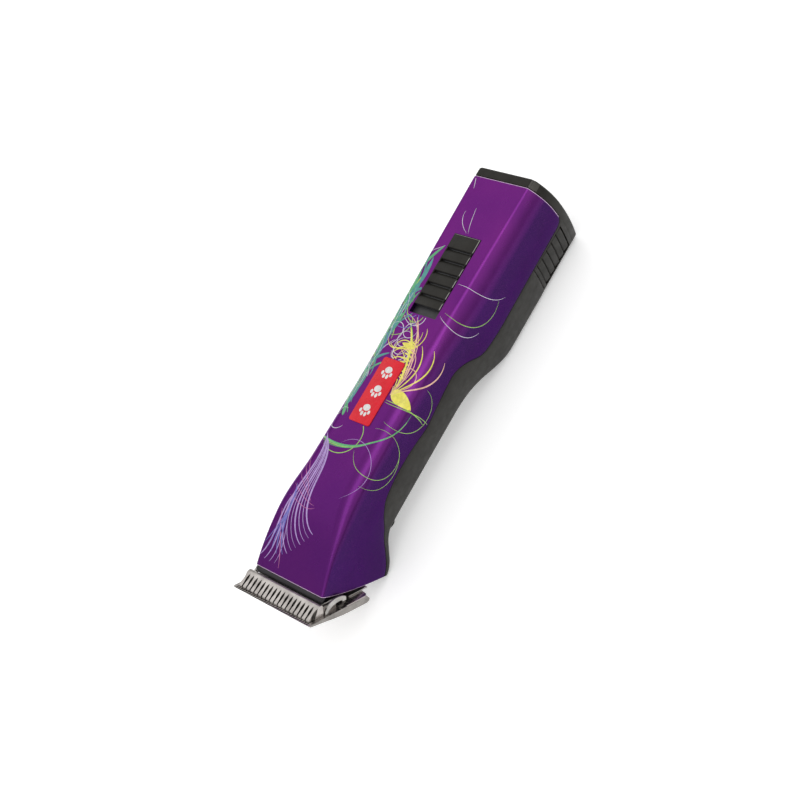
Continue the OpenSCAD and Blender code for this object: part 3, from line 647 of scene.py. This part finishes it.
# ---------------------------------------------------------------- battery cap and grips
GRIP_LO, GRIP_HI, RIBS = 182.6, 203.0, 5
GRIP_TOP = parting(190) + 1.4
GRIP_LOW = depth(190) - 4
SHRINK = 0.12


def ring(x, inset):
    """Whole cross section as one closed loop."""
    p = parting(x)
    top, low = ridge_run(x, inset, p), base_run(x, inset, p)
    half = [at(x, y, d) for y, d in top + low[1:]]
    other = [at(x, -y, d) for y, d in (top + low[1:])[1:-1]]
    return half + other[::-1]


def flank_block(name, xs, side, d0, d1, outer, inner, n=18):
    """Block that follows one flank between two depths; outer and inner are insets, outer a function of x."""
    ds = steps(d0, d1, n)
    return shell(name, [[at(x, side * (half_w(x, d) - outer(x, d)), d) for d in ds] for x in xs],
                 [[at(x, side * (half_w(x, d) - inner), d) for d in ds] for x in xs])


skirt_st = rounded_ends(steps(SKIRT_X + PLAY, 200, 22)[:-1] + steps(200, CAP_X + PLAY, 16), 0.25, rear=False)
cap = shell("battery_cap_skirt",
            [under(x, base_run(x, SHRINK + i, parting(x) + PLAY, 0.2)) for x, i in skirt_st],
            [under(x, base_run(x, WALL, parting(x) + PLAY)) for x, i in skirt_st])
end_st = [(CAP_X + 0.25, 0.35), (CAP_X + 0.37, 0.1), (CAP_X + 0.6, 0), (207, 0), (208.9, 0),
          (209.35, 0.1), (209.7, 0.35), (209.92, 0.75), (END_X, 1.4)]
unite(cap, loft("battery_cap_end", [ring(x, SHRINK + i) for x, i in end_st]))
CASE = [(-6.2, -35.7), (6.2, -35.7), (9.7, -32), (9.7, 0), (7, 3.1), (-7, 3.1), (-9.7, 0), (-9.7, -32)]
with_looks(cap, [SATIN, CAP_RIDGE_HIGHLIGHT])
cut(cap, prism("pocket", CASE, CAP_X - 1, CAP_X + 1.5, lambda a, b, c: (c, a, b)))
for s in (1, -1):
    cut(cap, flank_block("grip_hole", [GRIP_LO - PLAY, 193, GRIP_HI + PLAY], s,
                         GRIP_TOP - PLAY, GRIP_LOW + PLAY, lambda x, d: -3, 4))
# painted highlight: faces of the cap end that look up and sideways, along its ridge corner, take the lighter
# grey
for f in cap.data.polygons:
    if f.normal.z > 0.5 and abs(f.normal.y) > 0.42 and f.center.x * 1000 + HALF > CAP_X:
        f.material_index = 1
done(cap, "battery", [SATIN, CAP_RIDGE_HIGHLIGHT], ["battery_cap"], 34)


def rib(x, d):
    """How far the grip's surface lies inside the flank: five ramps with a deep groove before each."""
    pitch = (GRIP_HI - GRIP_LO) / RIBS
    t = (x - GRIP_LO) / pitch % 1.0 if x < GRIP_HI - 1e-6 else 1.0
    ramp = 0.16 + 0.5 * (1 - t) ** 1.6
    groove = 1.05 * math.exp(-(t / 0.085) ** 2) + 1.05 * math.exp(-((t - 1.0) / 0.06) ** 2)
    ends = 0.5 * max(0, 1 - (d - GRIP_TOP) / 0.7) ** 2 + 0.5 * max(0, 1 - (GRIP_LOW - d) / 0.9) ** 2
    return min(1.25, ramp + groove) + ends


for name, s, on in (("grip_left", 1, "left_grip"), ("grip_right", -1, "right_grip")):
    g = flank_block(name + "_pad", steps(GRIP_LO + 0.05, GRIP_HI, 90), s, GRIP_TOP, GRIP_LOW, rib, 2.4, 26)
    with_looks(g, [GRIP, RIM_HIGHLIGHT])
    # painted highlight: faces of the grip that look up take the light grey
    for f in g.data.polygons:
        f.material_index = int(f.normal.z > 0.75)
    done(g, on, [GRIP, RIM_HIGHLIGHT], [name], 50)

# ---------------------------------------------------------------- nose frame
LIP_HALF = 21.2
plate = loft("nose_plate", [ring(NOSE_X + back, WALL + 0.1) for back in (0.5, 1.3, 2.1)])
unite(plate, box("pocket_wall", (22.8, -12.2, 1), (40.4, 12.2, 4.4), head))
cut(plate, box("window", (3.2, -8, -4), (22.5, 8, 5), head))
cut(plate, box("pocket", (23.8, -11.2, -3), (44, 11.2, 1.7), head))
for s in (1, -1):
    cut(plate, lathe("hole", [(-1, 1.0), (6, 1.0)], (38, 6.5 * s, 0), "z", head, 20))
unite(plate, box("lip_tab", (2.4, -LIP_HALF + 4, -0.2), (3.2, LIP_HALF - 4, 0.9), head))
profile = curve_through([(0.1, -0.04), (-0.2, -0.6), (-0.24, -1.5), (-0.02, -2.3), (0.35, -2.78),
                         (0.85, -2.9), (1.35, -2.72), (2.2, -1.6), (3.25, -0.04)], 4)
LIP_P, LIP_Z = 1.2, -1.2


def lip_ring(y, grow):
    """The lip's profile at y, shrunk towards its middle where grow is under 1."""
    return [head(LIP_P + (p - LIP_P) * grow if grow < 1 else p, y, min(-0.04, LIP_Z + (z - LIP_Z) * grow))
            for p, z in profile]


turns = [math.pi / 2 * k / 8 for k in range(9)]
ys = [(-(LIP_HALF - 1.5 * (1 - math.cos(a))), 0.35 + 0.65 * math.sin(a)) for a in turns]
ys += [(-y, g) for y, g in reversed(ys)]
unite(plate, loft("lip", [lip_ring(y, g) for y, g in ys]))
done(plate, "housing", [NOSE], ["nose_frame"], 34)

# ---------------------------------------------------------------- badge with plain paw prints
BX, BL, BW, BR = 99.0, 31.0, 12.6, 1.2


def slab(name, x, l, w, r, z0, z1, soft):
    """Rounded rectangle with a softened top edge."""
    def outline(inset):
        pts = []
        for cx, cy, a0 in ((1, 1, 0), (-1, 1, 90), (-1, -1, 180), (1, -1, 270)):
            for k in range(7):
                a = math.radians(a0 + 15 * k)
                pts.append((x + cx * (l / 2 - r) + (r - inset) * math.cos(a),
                            cy * (w / 2 - r) + (r - inset) * math.sin(a)))
        return pts

    levels = ((z0, 0), (z1 - soft, 0), (z1 - soft * 0.3, soft * 0.3), (z1, soft))
    return loft(name, [[(a, b, z) for a, b in outline(i)] for z, i in levels])


badge_plate = slab("badge_plate", BX, BL, BW, BR, TOP_H + 0.02, TOP_H + 0.46, 0.2)
done(badge_plate, "housing", [RED], ["badge"], 50)


def dot(x, y, rx, ry):
    """Flat oval print on the badge."""
    turns = [math.pi * k / 12 for k in range(24)]
    rings = [[(x + (rx - i) * math.cos(a), y + (ry - i) * math.sin(a), z) for a in turns]
             for z, i in ((TOP_H + 0.44, 0), (TOP_H + 0.485, 0), (TOP_H + 0.5, 0.05))]
    return loft("dot", rings)


prints = []
for cx in (BX - 9.2, BX, BX + 9.2):
    prints.append(dot(cx + 1.1, 0, 1.55, 2.0))
    toes = ((-0.7, -2.45, 0.95), (-1.9, -0.95, 1.05), (-1.9, 0.95, 1.05), (-0.7, 2.45, 0.95))
    prints += [dot(cx + dx, y, rx, 0.72) for dx, y, rx in toes]
done(merged("badge_paw_prints", prints), "housing", [WHITE], (), 50)

# ---------------------------------------------------------------- switch
ZS = TOP_H + 0.5
GROOVE = [(1.1, 0), (0.92, -0.5), (0.86, -1.45), (0.5, -1.5), (0.3, -1.2), (-0.5, -0.42), (-1.3, -0.06),
          (-1.7, 0)]
sw = [(SWITCH_X, INSIDE - 0.8), (SWITCH_END, INSIDE - 0.8), (SWITCH_END, ZS)]
groove_at = [SWITCH_X + 4.3 + 5.8 * i for i in range(5)]
for gx in reversed(groove_at):
    sw += [(gx + a, ZS + b) for a, b in GROOVE]
sw += [(SWITCH_X, ZS)]


def rounded_edge(e):
    """The edges of the top and the upright ones at the front."""
    a, b = e.verts[0].co, e.verts[1].co
    upright = abs(a.x - b.x) < 1e-6 and abs(a.y - b.y) < 1e-6
    return min(a.z, b.z) > (DROP + ZS - 0.1) / 1000 or upright and a.x < (SWITCH_X + 0.1 - HALF) / 1000


slider = with_looks(prism("switch_plate", sw, -SWITCH_HALF, SWITCH_HALF, across(body)), [GRIP, BLACK_AND_SHADE, RIM_HIGHLIGHT])
chamfer(slider, 0.4, 3, 32, rounded_edge)
unite(slider, box("flange", (SWITCH_X - TRAVEL - 1.6, -SWITCH_HALF - 2.4, INSIDE - 1.6),
                  (SWITCH_END + 3.6, SWITCH_HALF + 2.4, INSIDE - 0.25)))
unite(slider, box("dog", (SWITCH_X - 1, -3, 2.6), (SWITCH_X + 2, 3, INSIDE - 1)))
for f in slider.data.polygons:
    # painted shade: faces deeper than 0.9 mm under the top, in the grooves and on the flange, take the black
    low = (f.center.z * 1000 - DROP) < ZS - 0.9
    # painted highlight: sloped top-edge faces on the -y side and at the rear take the light grey
    edge = 0.25 < f.normal.z < 0.97 and f.center.z * 1000 - DROP > ZS - 0.4
    if low:
        f.material_index = 1
    elif edge and (f.center.y * 1000 < 0.4 - SWITCH_HALF or f.center.x * 1000 + HALF > SWITCH_END - 0.4):
        f.material_index = 2
for s in (1, -1):
    mid = (SWITCH_HALF - 0.45) * s
    rim = box("rim", (SWITCH_X + 0.45, mid - 0.28, 7), (SWITCH_END - 0.3, mid + 0.28, ZS - 0.03))
    unite(slider, with_looks(rim, [GRIP, BLACK_AND_SHADE, RIM_HIGHLIGHT]))
done(slider, "switch", [GRIP, BLACK_AND_SHADE, RIM_HIGHLIGHT], ["switch_slider"], 30)

# ---------------------------------------------------------------- blades
COMB_W, COMB_N, CUT_W, CUT_N = 49.5, 32, 46.0, 18
COMB_HALF, CUT_HALF = COMB_W / 2, CUT_W / 2
SCREW_U, SCREW_Y = 29.5, 8.6

comb_profile = [(0, 0), (0.1, -0.09), (0.36, -0.38), (0.64, -0.66), (1.0, -0.82), (4, -1.22), (9.6, -1.9),
                (14, -2.5), (18.8, -3), (21, -2.9), (21, 0)]
comb = prism("comb", comb_profile, -COMB_HALF, COMB_HALF, across(blade))
tail = [(20, -24.25), (31.2, -24.25), (32.2, -23.9), (32.9, -23), (33.2, -21), (33.5, -17.6), (34.4, -15.9),
        (36.2, -15), (37, -13.6)]
tail += [(u, -y) for u, y in reversed(tail)]
unite(comb, prism("comb_tail", tail, -1.6, 0, blade))
RAIL = [(20.4, -0.4), (31.2, -0.4), (32.2, -0.55), (33, -1.05), (33.4, -1.6), (33.5, -2.1), (33.3, -2.7),
        (32.8, -3.15), (31.9, -3.45), (31, -3.5), (20.4, -3.4)]
for s in (1, -1):
    rail = prism("rail", RAIL, 23.05 * s - 1.5, 23.05 * s + 1.5, across(blade))
    unite(comb, chamfer(rail, 0.3, 3, 35))
LAND = 2  # solid land at each end of the row of teeth
SLOT = [(-1, 0.46), (0.0, 0.44), (0.7, 0.36), (1.5, 0.31), (7.9, 0.31), (8.3, 0.2), (8.5, 0.07)]
pitch = (COMB_W - 2 * LAND) / COMB_N
slots = []
for i in range(COMB_N + 1):
    y = -COMB_HALF + LAND + pitch * i
    plan = [(u, y - w) for u, w in SLOT] + [(u, y + w) for u, w in reversed(SLOT)]
    # painted shade: the slot walls take the dark steel between the teeth
    slot = with_looks(prism("slot", plan, -4, 2, blade), [BLADE, GULLET_SHADE])
    slot.data.polygons.foreach_set("material_index", [1] * len(slot.data.polygons))
    slots.append(slot)
with_looks(comb, [BLADE, GULLET_SHADE, SIDE])
cut(comb, merged("slots", slots))
CORNER_R = 1.3
corners = []
for s in (1, -1):
    turns = [math.radians(a) for a in range(0, 91, 15)]
    arc = [(CORNER_R - CORNER_R * math.sin(a), s * (COMB_HALF - CORNER_R + CORNER_R * math.cos(a)))
           for a in turns]
    arc += [(-1, s * (COMB_HALF - CORNER_R)), (-1, s * (COMB_HALF + 1)), (CORNER_R, s * (COMB_HALF + 1))]
    corners.append(prism("corner", arc, -5, 2, blade))
cut(comb, merged("corners", corners))
holes = [lathe("hole", [(-4, 1.3), (2, 1.3)], (SCREW_U, SCREW_Y * s, 0), "z", blade, 24) for s in (1, -1)]
cut(comb, merged("holes", holes))
for f in comb.data.polygons:
    if abs(f.normal.y) > 0.8 and abs(f.center.y) > 0.0243:
        f.material_index = 2
done(comb, "blade_set", [BLADE, GULLET_SHADE, SIDE], ["comb_blade"], 24)

cut_profile = [(2, 0.05), (1.8, 0.42), (1.95, 0.88), (4, 2.32), (6, 3.72), (7.4, 4.7), (7.75, 4.92),
               (8.1, 5), (8.9, 5), (9.25, 4.94), (9.42, 4.75), (9.5, 4.4), (9.5, 0.05)]
cutter = prism("cutter", cut_profile, -CUT_HALF, CUT_HALF, across(blade))
unite(cutter, box("cutter_back", (9, -20.5, 0.05), (18.4, 20.5, 2.2), blade))
# stations of a flute: u, half width, height of its floor, sideways lean
FLUTE = [(0.4, 0.34, -1, -0.1), (1.6, 0.36, -1, -0.06), (3.2, 0.4, -1, 0), (3.9, 0.5, -1, 0.03),
         (4.4, 0.6, -0.4, 0.06), (4.9, 0.64, 0.6, 0.09), (5.4, 0.6, 1.5, 0.12), (5.9, 0.5, 2.4, 0.14),
         (6.4, 0.34, 3.2, 0.17), (6.8, 0.17, 3.9, 0.19), (7.0, 0.05, 4.4, 0.2)]
FLUTE_TOP = 5.6
flute_pitch = CUT_W / CUT_N
flutes = []
for i in range(CUT_N + 1):
    y = -CUT_HALF + flute_pitch * i
    rings = []
    for u, w, low, lean in FLUTE:
        c = y + lean
        section = [(-w * 0.5, low), (w * 0.5, low), (w, low + 0.7), (w * 1.08, FLUTE_TOP),
                   (-w * 1.08, FLUTE_TOP), (-w, low + 0.7)]
        rings.append([blade(u, c + side, v) for side, v in section])
    flutes.append(with_looks(loft("flute", rings), [BLADE, GULLET_SHADE]))
# painted shade: flute faces past u 3.4, deep in the cutter, take the dark steel
for flute in flutes:
    for f in flute.data.polygons:
        u = (f.center.x * 1000 + HALF) * math.cos(TILT) - (f.center.z * 1000 - DROP) * math.sin(TILT)
        f.material_index = int(u > 3.4)
with_looks(cutter, [BLADE, GULLET_SHADE])
cut(cutter, merged("flutes", flutes))
cut(cutter, box("notch", (12.4, -2.15, -1), (22, 2.15, 4), blade))
done(cutter, "cutter", [BLADE, GULLET_SHADE], ["cutter_blade"], 24)

# ---------------------------------------------------------------- tension spring and socket
T = 0.6
SHEET = [(11, 2.7), (19.2, 2.7), (22.4, 1.2), (24.6, 0.02), (36.4, 0.02), (36.4, 0.02 + T), (24.8, 0.02 + T),
         (23, 1.6), (19.6, 2.7 + T), (11, 2.7 + T)]
ARM_LOW = curve_through([(11.4, 0.03), (12.4, 1.6), (15, 3), (18.6, 3.3), (21.6, 2.4)], 6)
ARM_TOP = curve_through([(9.9, 0.03), (10.5, 2.2), (12.6, 4.3), (16, 5.5), (19.4, 5.2), (21.6, 4.2)], 6)
ARM_FOOT = [(19.6, 2.45), (21.6, 2.45), (21.6, 3.0), (19.6, 3.15)]
spring = prism("spring", SHEET, -20, 20, across(blade))
chamfer(spring, 0.15, 2, 8)
for s in (1, -1):
    arm = prism("arm", ARM_LOW + ARM_TOP[::-1], 23.2 * s - 0.55, 23.2 * s + 0.55, across(blade))
    unite(spring, chamfer(arm, 0.2, 2, 50))
    ends = sorted((19.9 * s, 23.6 * s))
    unite(spring, prism("arm_foot", ARM_FOOT, *ends, across(blade)))
windows = [box("w", (10, -6.4, -1), (33, 6.4, 6), blade)]
windows += [box("w", (24, y, -1), (26, y + 9, 6), blade) for y in (-21, 12)]
windows += [lathe("w", [(-1, 1.4), (3, 1.4)], (SCREW_U, SCREW_Y * s, 0), "z", blade, 24) for s in (1, -1)]
cut(spring, merged("windows", windows))
done(spring, "blade_set", [SPRING], ["tension_spring"], 30)

socket_side = [(22.4, 12.6), (35.6, 12.6), (37.2, 12.1), (38.1, 11.0), (38.4, 9.4)]
socket_plan = [(22.4, -12.6)] + socket_side + [(u, -y) for u, y in reversed(socket_side[1:])]
socket = prism("socket", socket_plan, -4.6, -3.6, blade)
for s in (1, -1):
    unite(socket, box("rail", (22.4, 11.8 * s - 0.8, -4.6), (34, 11.8 * s + 0.8, -1.65), blade))
unite(socket, box("front", (22.4, -12.6, -4), (23.6, 12.6, -1.65), blade))
chamfer(socket, 0.22, 2, 30)
done(socket, "blade_set", [SPRING], ["blade_socket"], 30)

# ---------------------------------------------------------------- printed curls on the lacquer
RUNS = {}


def run_at(x):
    """Right half of the outer section at x with its running length."""
    key = round(x, 2)
    if key not in RUNS:
        pts = ridge_run(key, 0, parting(key) - SEAM / 2)
        lengths = [0.0]
        for (y0, d0), (y1, d1) in zip(pts, pts[1:]):
            lengths.append(lengths[-1] + math.hypot(y1 - y0, d1 - d0))
        RUNS[key] = (pts, lengths)
    return RUNS[key]


def on_skin(x, t):
    """Point of the upper shell t mm round the section from the middle of the top; +t is the left side."""
    x = min(max(x, NOSE_X + 0.5), CAP_X - 0.5)
    pts, lengths = run_at(x)
    a, s = min(abs(t), lengths[-1] - 0.4), 1 if t >= 0 else -1
    i = 0
    while i < len(lengths) - 2 and lengths[i + 1] < a:
        i += 1
    f = (a - lengths[i]) / max(1e-9, lengths[i + 1] - lengths[i])
    y, d = mix(pts[i][0], pts[i + 1][0], f), mix(pts[i][1], pts[i + 1][1], f)
    return Vector(at(x, s * y, d))


def limit_at(x):
    """How far round the section the lacquer goes at x."""
    return run_at(min(max(x, NOSE_X + 0.5), CAP_X - 0.5))[1][-1] - 0.6


def bare(x, t):
    """True where nothing is printed: past the edges, in the switch window and under the badge."""
    rim = MARGIN + 0.3
    in_window = SWITCH_X - TRAVEL - rim < x < SWITCH_END + rim and abs(t) < SWITCH_HALF + rim
    in_badge = abs(x - BX) < BL / 2 + 0.2 and abs(t) < BW / 2 + 0.2
    return not NOSE_X + 1 < x < CAP_X - 1 or abs(t) > limit_at(x) or in_window or in_badge


def strip(points, widths, lift):
    """Thin closed ribbon that lies on the skin."""
    verts, faces, last = [], [], None
    for i, (x, t) in enumerate(points):
        if bare(x, t):
            last = None
            continue
        a, b = points[max(i - 1, 0)], points[min(i + 1, len(points) - 1)]
        dx, dt = b[0] - a[0], b[1] - a[1]
        n = math.hypot(dx, dt) or 1
        w = widths[i] / 2
        sx, st = -dt / n * w, dx / n * w
        c = on_skin(x, t)
        normal = (on_skin(x + 0.2, t) - on_skin(x - 0.2, t)).cross(on_skin(x, t + 0.2) - on_skin(x, t - 0.2))
        normal.normalize()
        left, right = on_skin(x + sx, t + st), on_skin(x - sx, t - st)
        o = len(verts)
        verts += [left - normal * 0.02, left + normal * lift * 0.6, c + normal * lift,
                  right + normal * lift * 0.6, right - normal * 0.02]
        if last is not None:
            faces += [(last + j, last + (j + 1) % 5, o + (j + 1) % 5, o + j) for j in range(5)]
        else:
            faces.append(tuple(o + j for j in range(5)))
        if i + 1 == len(points) or bare(*points[i + 1]):
            faces.append(tuple(o + j for j in reversed(range(5))))
        last = o
    return verts, faces


def sweep(x, t, heading, length, k0, k1, width):
    """Stroke whose bend goes evenly from k0 to k1, in degrees per mm; heading 0 runs back, 90 left."""
    n = max(12, int(length / 0.7))
    pts, widths = [], []
    h = heading
    for i in range(n + 1):
        f = i / n
        pts.append((x, t))
        widths.append(width * (1 - abs(2 * f - 1) ** 3 * 0.75))
        h += mix(k0, k1, f) * length / n
        x += math.cos(math.radians(h)) * length / n
        t += math.sin(math.radians(h)) * length / n
    return pts, widths


def leaf(x, t, heading, length, width, bend=0.0, rows=9):
    """Filled leaf made of strokes side by side."""
    out = []
    line = sweep(x, t, heading, length, bend, -bend, 1)[0]
    n = len(line) - 1
    for j in range(rows):
        pts, widths = [], []
        for i, (a, b) in enumerate(line):
            h = line[min(i + 1, n)]
            g = line[max(i - 1, 0)]
            m = math.hypot(h[0] - g[0], h[1] - g[1]) or 1
            w = width * math.sin(math.pi * min(1, (i / n) ** 0.75)) ** 0.8
            off = (j - (rows - 1) / 2) / rows * w
            pts.append((a - (h[1] - g[1]) / m * off, b + (h[0] - g[0]) / m * off))
            widths.append(max(0.06, w / rows * 1.5))
        out.append((pts, widths))
    return out


INKS = {
    "lime": (0.34, 0.62, 0.07), "green": (0.08, 0.42, 0.16), "teal": (0.05, 0.3, 0.27),
    "yellow": (0.86, 0.78, 0.1), "white": (0.7, 0.66, 0.74), "lilac": (0.46, 0.3, 0.66),
    "peach": (0.86, 0.5, 0.34), "rose": (0.56, 0.13, 0.36), "blue": (0.14, 0.13, 0.5),
}


def curls():
    """Strokes by colour: sweeping arcs, loops and spirals of a plain flourish."""
    out = {color: [] for color in INKS}

    def stroke(color, *shape):
        out[color].append(sweep(*shape))

    # long soft arcs in front of the badge, from the left edge back over the right side
    for i in range(5):
        stroke("lime" if i % 2 else "green", 74 - 0.8 * i, 18 - 1.3 * i, -108 + 3 * i, 38 + 2.5 * i, 1.3,
               2.3 + 0.12 * i, 0.75 - 0.1 * i)
    stroke("lime", 70, 12, -120, 38, 3.2, 9.5, 0.4)
    stroke("lilac", 73, 3, -40, 44, -5.2, -3.4, 0.2)
    stroke("lime", 84, -10, -70, 46, -3.6, -5.2, 0.2)
    stroke("lime", 72, -6, 200, 38, 4.4, 6.2, 0.24)
    stroke("lime", 88, -12, 250, 38, 3.6, 6.4, 0.24)
    # spiral fan on the right of the badge
    for i in range(7):
        stroke("yellow" if i % 3 else "peach", 99.5, -7.5, -52 + 9 * i, 30 - 1.5 * i, -1.2 + 0.9 * i,
               6.5 - 0.5 * i, 0.62 - 0.03 * i)
    for i in range(6):
        stroke("yellow", 104 + 3.4 * i, -9 + 0.55 * i, 60 - 4 * i, 11 + 0.6 * i, 4, 15, 0.5)
    stroke("peach", 103, -8, -30, 38, 0.6, 17, 0.36)
    stroke("peach", 101, -8, -62, 27, 0.4, 26, 0.34)
    stroke("peach", 100, -7.5, -18, 44, 1.2, 3.2, 0.34)
    stroke("lime", 97, -7, -95, 22, 1.5, -2.5, 0.42)
    stroke("lime", 96, -7, -100, 26, 3.0, -3.4, 0.3)
    out["yellow"] += leaf(101.5, -7.6, -112, 12.5, 5.6, 1.6)
    # ribbed crest of the fan
    for i in range(9):
        stroke("yellow", 109 + 1.7 * i, -8.8 + 0.2 * i, 82 - 3 * i, 6.4 - 0.15 * i, 2, 6, 0.75)
    for i in range(4):
        stroke("yellow", 107 - i, -9.2 + 0.3 * i, 20 - 4 * i, 26 - 1.5 * i, -0.6, 2.6 + 0.4 * i,
               1.0 - 0.12 * i)
    out["yellow"] += leaf(122, -6.2, 80, 8, 2.6, 3)
    stroke("peach", 108, -9.4, 8, 30, 0.4, 2.0, 0.9)
    stroke("lime", 104, -8.8, 4, 34, 0.8, 2.2, 0.5)
    # curls between the badge and the switch
    for i in range(6):
        stroke("white", 118 + 2.4 * i, 5 - 1.3 * i, 200 - 38 * i, 17 + i, 6 + 2.5 * i, 19 - i, 0.3)
    for i in range(5):
        stroke("yellow", 124 + 2 * i, -2 - 1.2 * i, 150 + 18 * i, 15, -4 - i, -13 + i, 0.42)
    # green and teal mass of waves along the left edge
    for i in range(16):
        side = ("green", "teal")[i % 2]
        out[side] += leaf(84 + 4.4 * i, 10.6 + 1.4 * (i % 3), 14 - 9 * (i % 3), 12 + 1.5 * (i % 2), 2.1,
                          3.5 - 7 * (i % 2), 4)
    for i in range(14):
        stroke(("green", "teal", "lime")[i % 3], 86 + 4.6 * i, 8.9 + 1.2 * (i % 4), 28 - 9 * (i % 5),
               20 + 1.5 * (i % 3), 5.5 - 3.1 * (i % 4), -4.5 + 3.4 * (i % 3), 0.8 - 0.1 * (i % 3))
    for i in range(12):
        stroke(("teal", "green")[i % 2], 84 + 5.6 * i, 16 + 0.9 * (i % 3), 12 - 7 * (i % 3), 26,
               2.8 - 2.2 * (i % 3), -3.2 + 2.6 * (i % 2), 1.6)
    for i in range(12):
        stroke(("white", "lime", "blue")[i % 3], 88 + 5.2 * i, 9.6 + 1.1 * (i % 3), 80 - 23 * i, 22, 9 - i,
               14 + i, 0.36)
    for i in range(9):
        stroke("white", 92 + 5.8 * i, 12.4 - 1.1 * (i % 3), -14 + 11 * (i % 3), 15, 5 - 4 * (i % 2),
               -6 + 5 * (i % 3), 0.34)
    # lilac ribbons that run down to the head on the left
    for i in range(7):
        stroke("lilac", 75 - 0.5 * i, 13.4 - 0.5 * i, 214 + 2.5 * i, 56 - 2 * i, -3.4 - 0.16 * i,
               4.3 + 0.2 * i, (0.9, 0.5, 0.36)[i % 3])
    for i in range(4):
        stroke("lilac", 47 - 0.7 * i, 11.6 - 0.5 * i, 150 + 4 * i, 32 - i, 3.4 + 0.3 * i, -4.6 - 0.3 * i,
               0.8 - 0.16 * i)
    for i in range(5):
        stroke("blue", 50 - i, 13.2 - 0.6 * i, 205 - 7 * i, 30 - i, -3.6 + 0.5 * i, 4.8 - 1.4 * i,
               0.75 - 0.1 * i)
    for i in range(5):
        stroke("rose", 66 - 5.4 * i, 15.5 - 0.3 * i, 170 + 24 * i, 17, 12 - 4 * i, -15 + 6 * i, 0.24)
    stroke("rose", 38, 15.5, 192, 24, 2.2, -2.8, 0.45)
    # single hairlines near the switch and over the ridge
    stroke("white", 155, -9, 268, 26, -0.4, 4.8, 0.24)
    stroke("white", 178, 2, 60, 13, -1, -9, 0.24)
    stroke("white", 178, 1, 28, 13, -3, 1, 0.24)
    stroke("white", 170, 9, 120, 12, 2, -5, 0.24)
    stroke("white", 139, -9.4, 236, 24, 2, 6.5, 0.26)
    stroke("lime", 141, -11, 250, 34, 2.6, 5.6, 0.26)
    stroke("white", 199, 12, 20, 9, 1, 1, 0.3)
    return out


for layer, (color, strokes) in enumerate(curls().items()):
    look = ink("ink_" + color, INKS[color])
    verts, faces = [], []
    for k, (pts, widths) in enumerate(strokes):
        v, f = strip(pts, widths, 0.03 + 0.006 * layer + 0.0006 * k)
        o = len(verts)
        verts += v
        faces += [tuple(o + j for j in g) for g in f]
    done(raw("curls_" + color, verts, faces), "housing", [look], (), 60)

# ---------------------------------------------------------------- floor, light and camera
bpy.context.scene.view_settings.view_transform = "Standard"
bpy.context.scene.view_settings.look = "None"

bm = bmesh.new()
bmesh.ops.create_grid(bm, x_segments=8, y_segments=8, size=3.0)
mesh = bpy.data.meshes.new("floor")
bm.to_mesh(mesh)
bm.free()
floor = bpy.data.objects.new("floor", mesh)
floor.location.z = -0.0002
bpy.context.scene.collection.objects.link(floor)
pale = Shader("floor_pale", (0.96, 0.96, 0.96), 0.9)
pale.roughen(pale.noise(40), 0.85, 0.95)
pale.b.inputs["Emission Color"].default_value = (1, 1, 1, 1)
pale.b.inputs["Emission Strength"].default_value = 0.3
pale.b.inputs["Specular IOR Level"].default_value = 0.1
floor.data.materials.append(pale.m)

world = bpy.data.worlds.new("studio")
bpy.context.scene.world = world
world.use_nodes = True
sky = world.node_tree
sky.nodes["Background"].inputs["Color"].default_value = (1, 1, 1, 1)
toward = sky.nodes.new("ShaderNodeTexCoord").outputs["Generated"]
parts = sky.nodes.new("ShaderNodeSeparateXYZ")
rise = sky.nodes.new("ShaderNodeMapRange")
for k, v in zip(("From Min", "From Max", "To Min", "To Max"), (0.02, 0.34, 0.14, 0.82)):
    rise.inputs[k].default_value = v
sky.links.new(toward, parts.inputs[0])
sky.links.new(parts.outputs["Z"], rise.inputs["Value"])
sky.links.new(rise.outputs["Result"], sky.nodes["Background"].inputs["Strength"])


def softbox(name, place, aim, size, power):
    """White rectangular light at place, turned to aim."""
    data = bpy.data.lights.new(name, "AREA")
    data.shape, data.size, data.size_y = "RECTANGLE", size[0], size[1]
    data.energy = power
    ob = bpy.data.objects.new(name, data)
    ob.location = place
    ob.rotation_mode = "QUATERNION"
    ob.rotation_quaternion = (Vector(aim) - Vector(place)).to_track_quat("-Z", "Y")
    bpy.context.scene.collection.objects.link(ob)


softbox("key", (0.2, -0.5, 1.05), (0.0, 0.0, 0.03), (1.4, 0.45), 2.4)
softbox("back", (0.35, 0.95, 1.0), (0.0, 0.0, 0.03), (1.7, 1.3), 1.6)
softbox("front", (-0.8, -0.25, 0.7), (-0.08, 0.0, 0.02), (0.6, 0.5), 1.2)

# the camera's own axes in the frame, made square to each other
RIGHT = Vector((0.4978, -0.6843, -0.5329))
UP = Vector((0.8496, 0.2614, 0.4580))
BACK = RIGHT.cross(UP).normalized()
UP = BACK.cross(RIGHT).normalized()
RIGHT = UP.cross(BACK)
camera = bpy.data.cameras.new("camera")
camera.lens, camera.sensor_width = 78.75, 36
eye = bpy.data.objects.new("camera", camera)
eye.matrix_world = Matrix((
    (RIGHT.x, UP.x, BACK.x, -0.1318),
    (RIGHT.y, UP.y, BACK.y, -0.5061),
    (RIGHT.z, UP.z, BACK.z, 0.5625),
    (0, 0, 0, 1)))
camera.clip_start, camera.clip_end = 0.01, 50
bpy.context.scene.collection.objects.link(eye)
bpy.context.scene.camera = eye

bpy.context.view_layer.update()
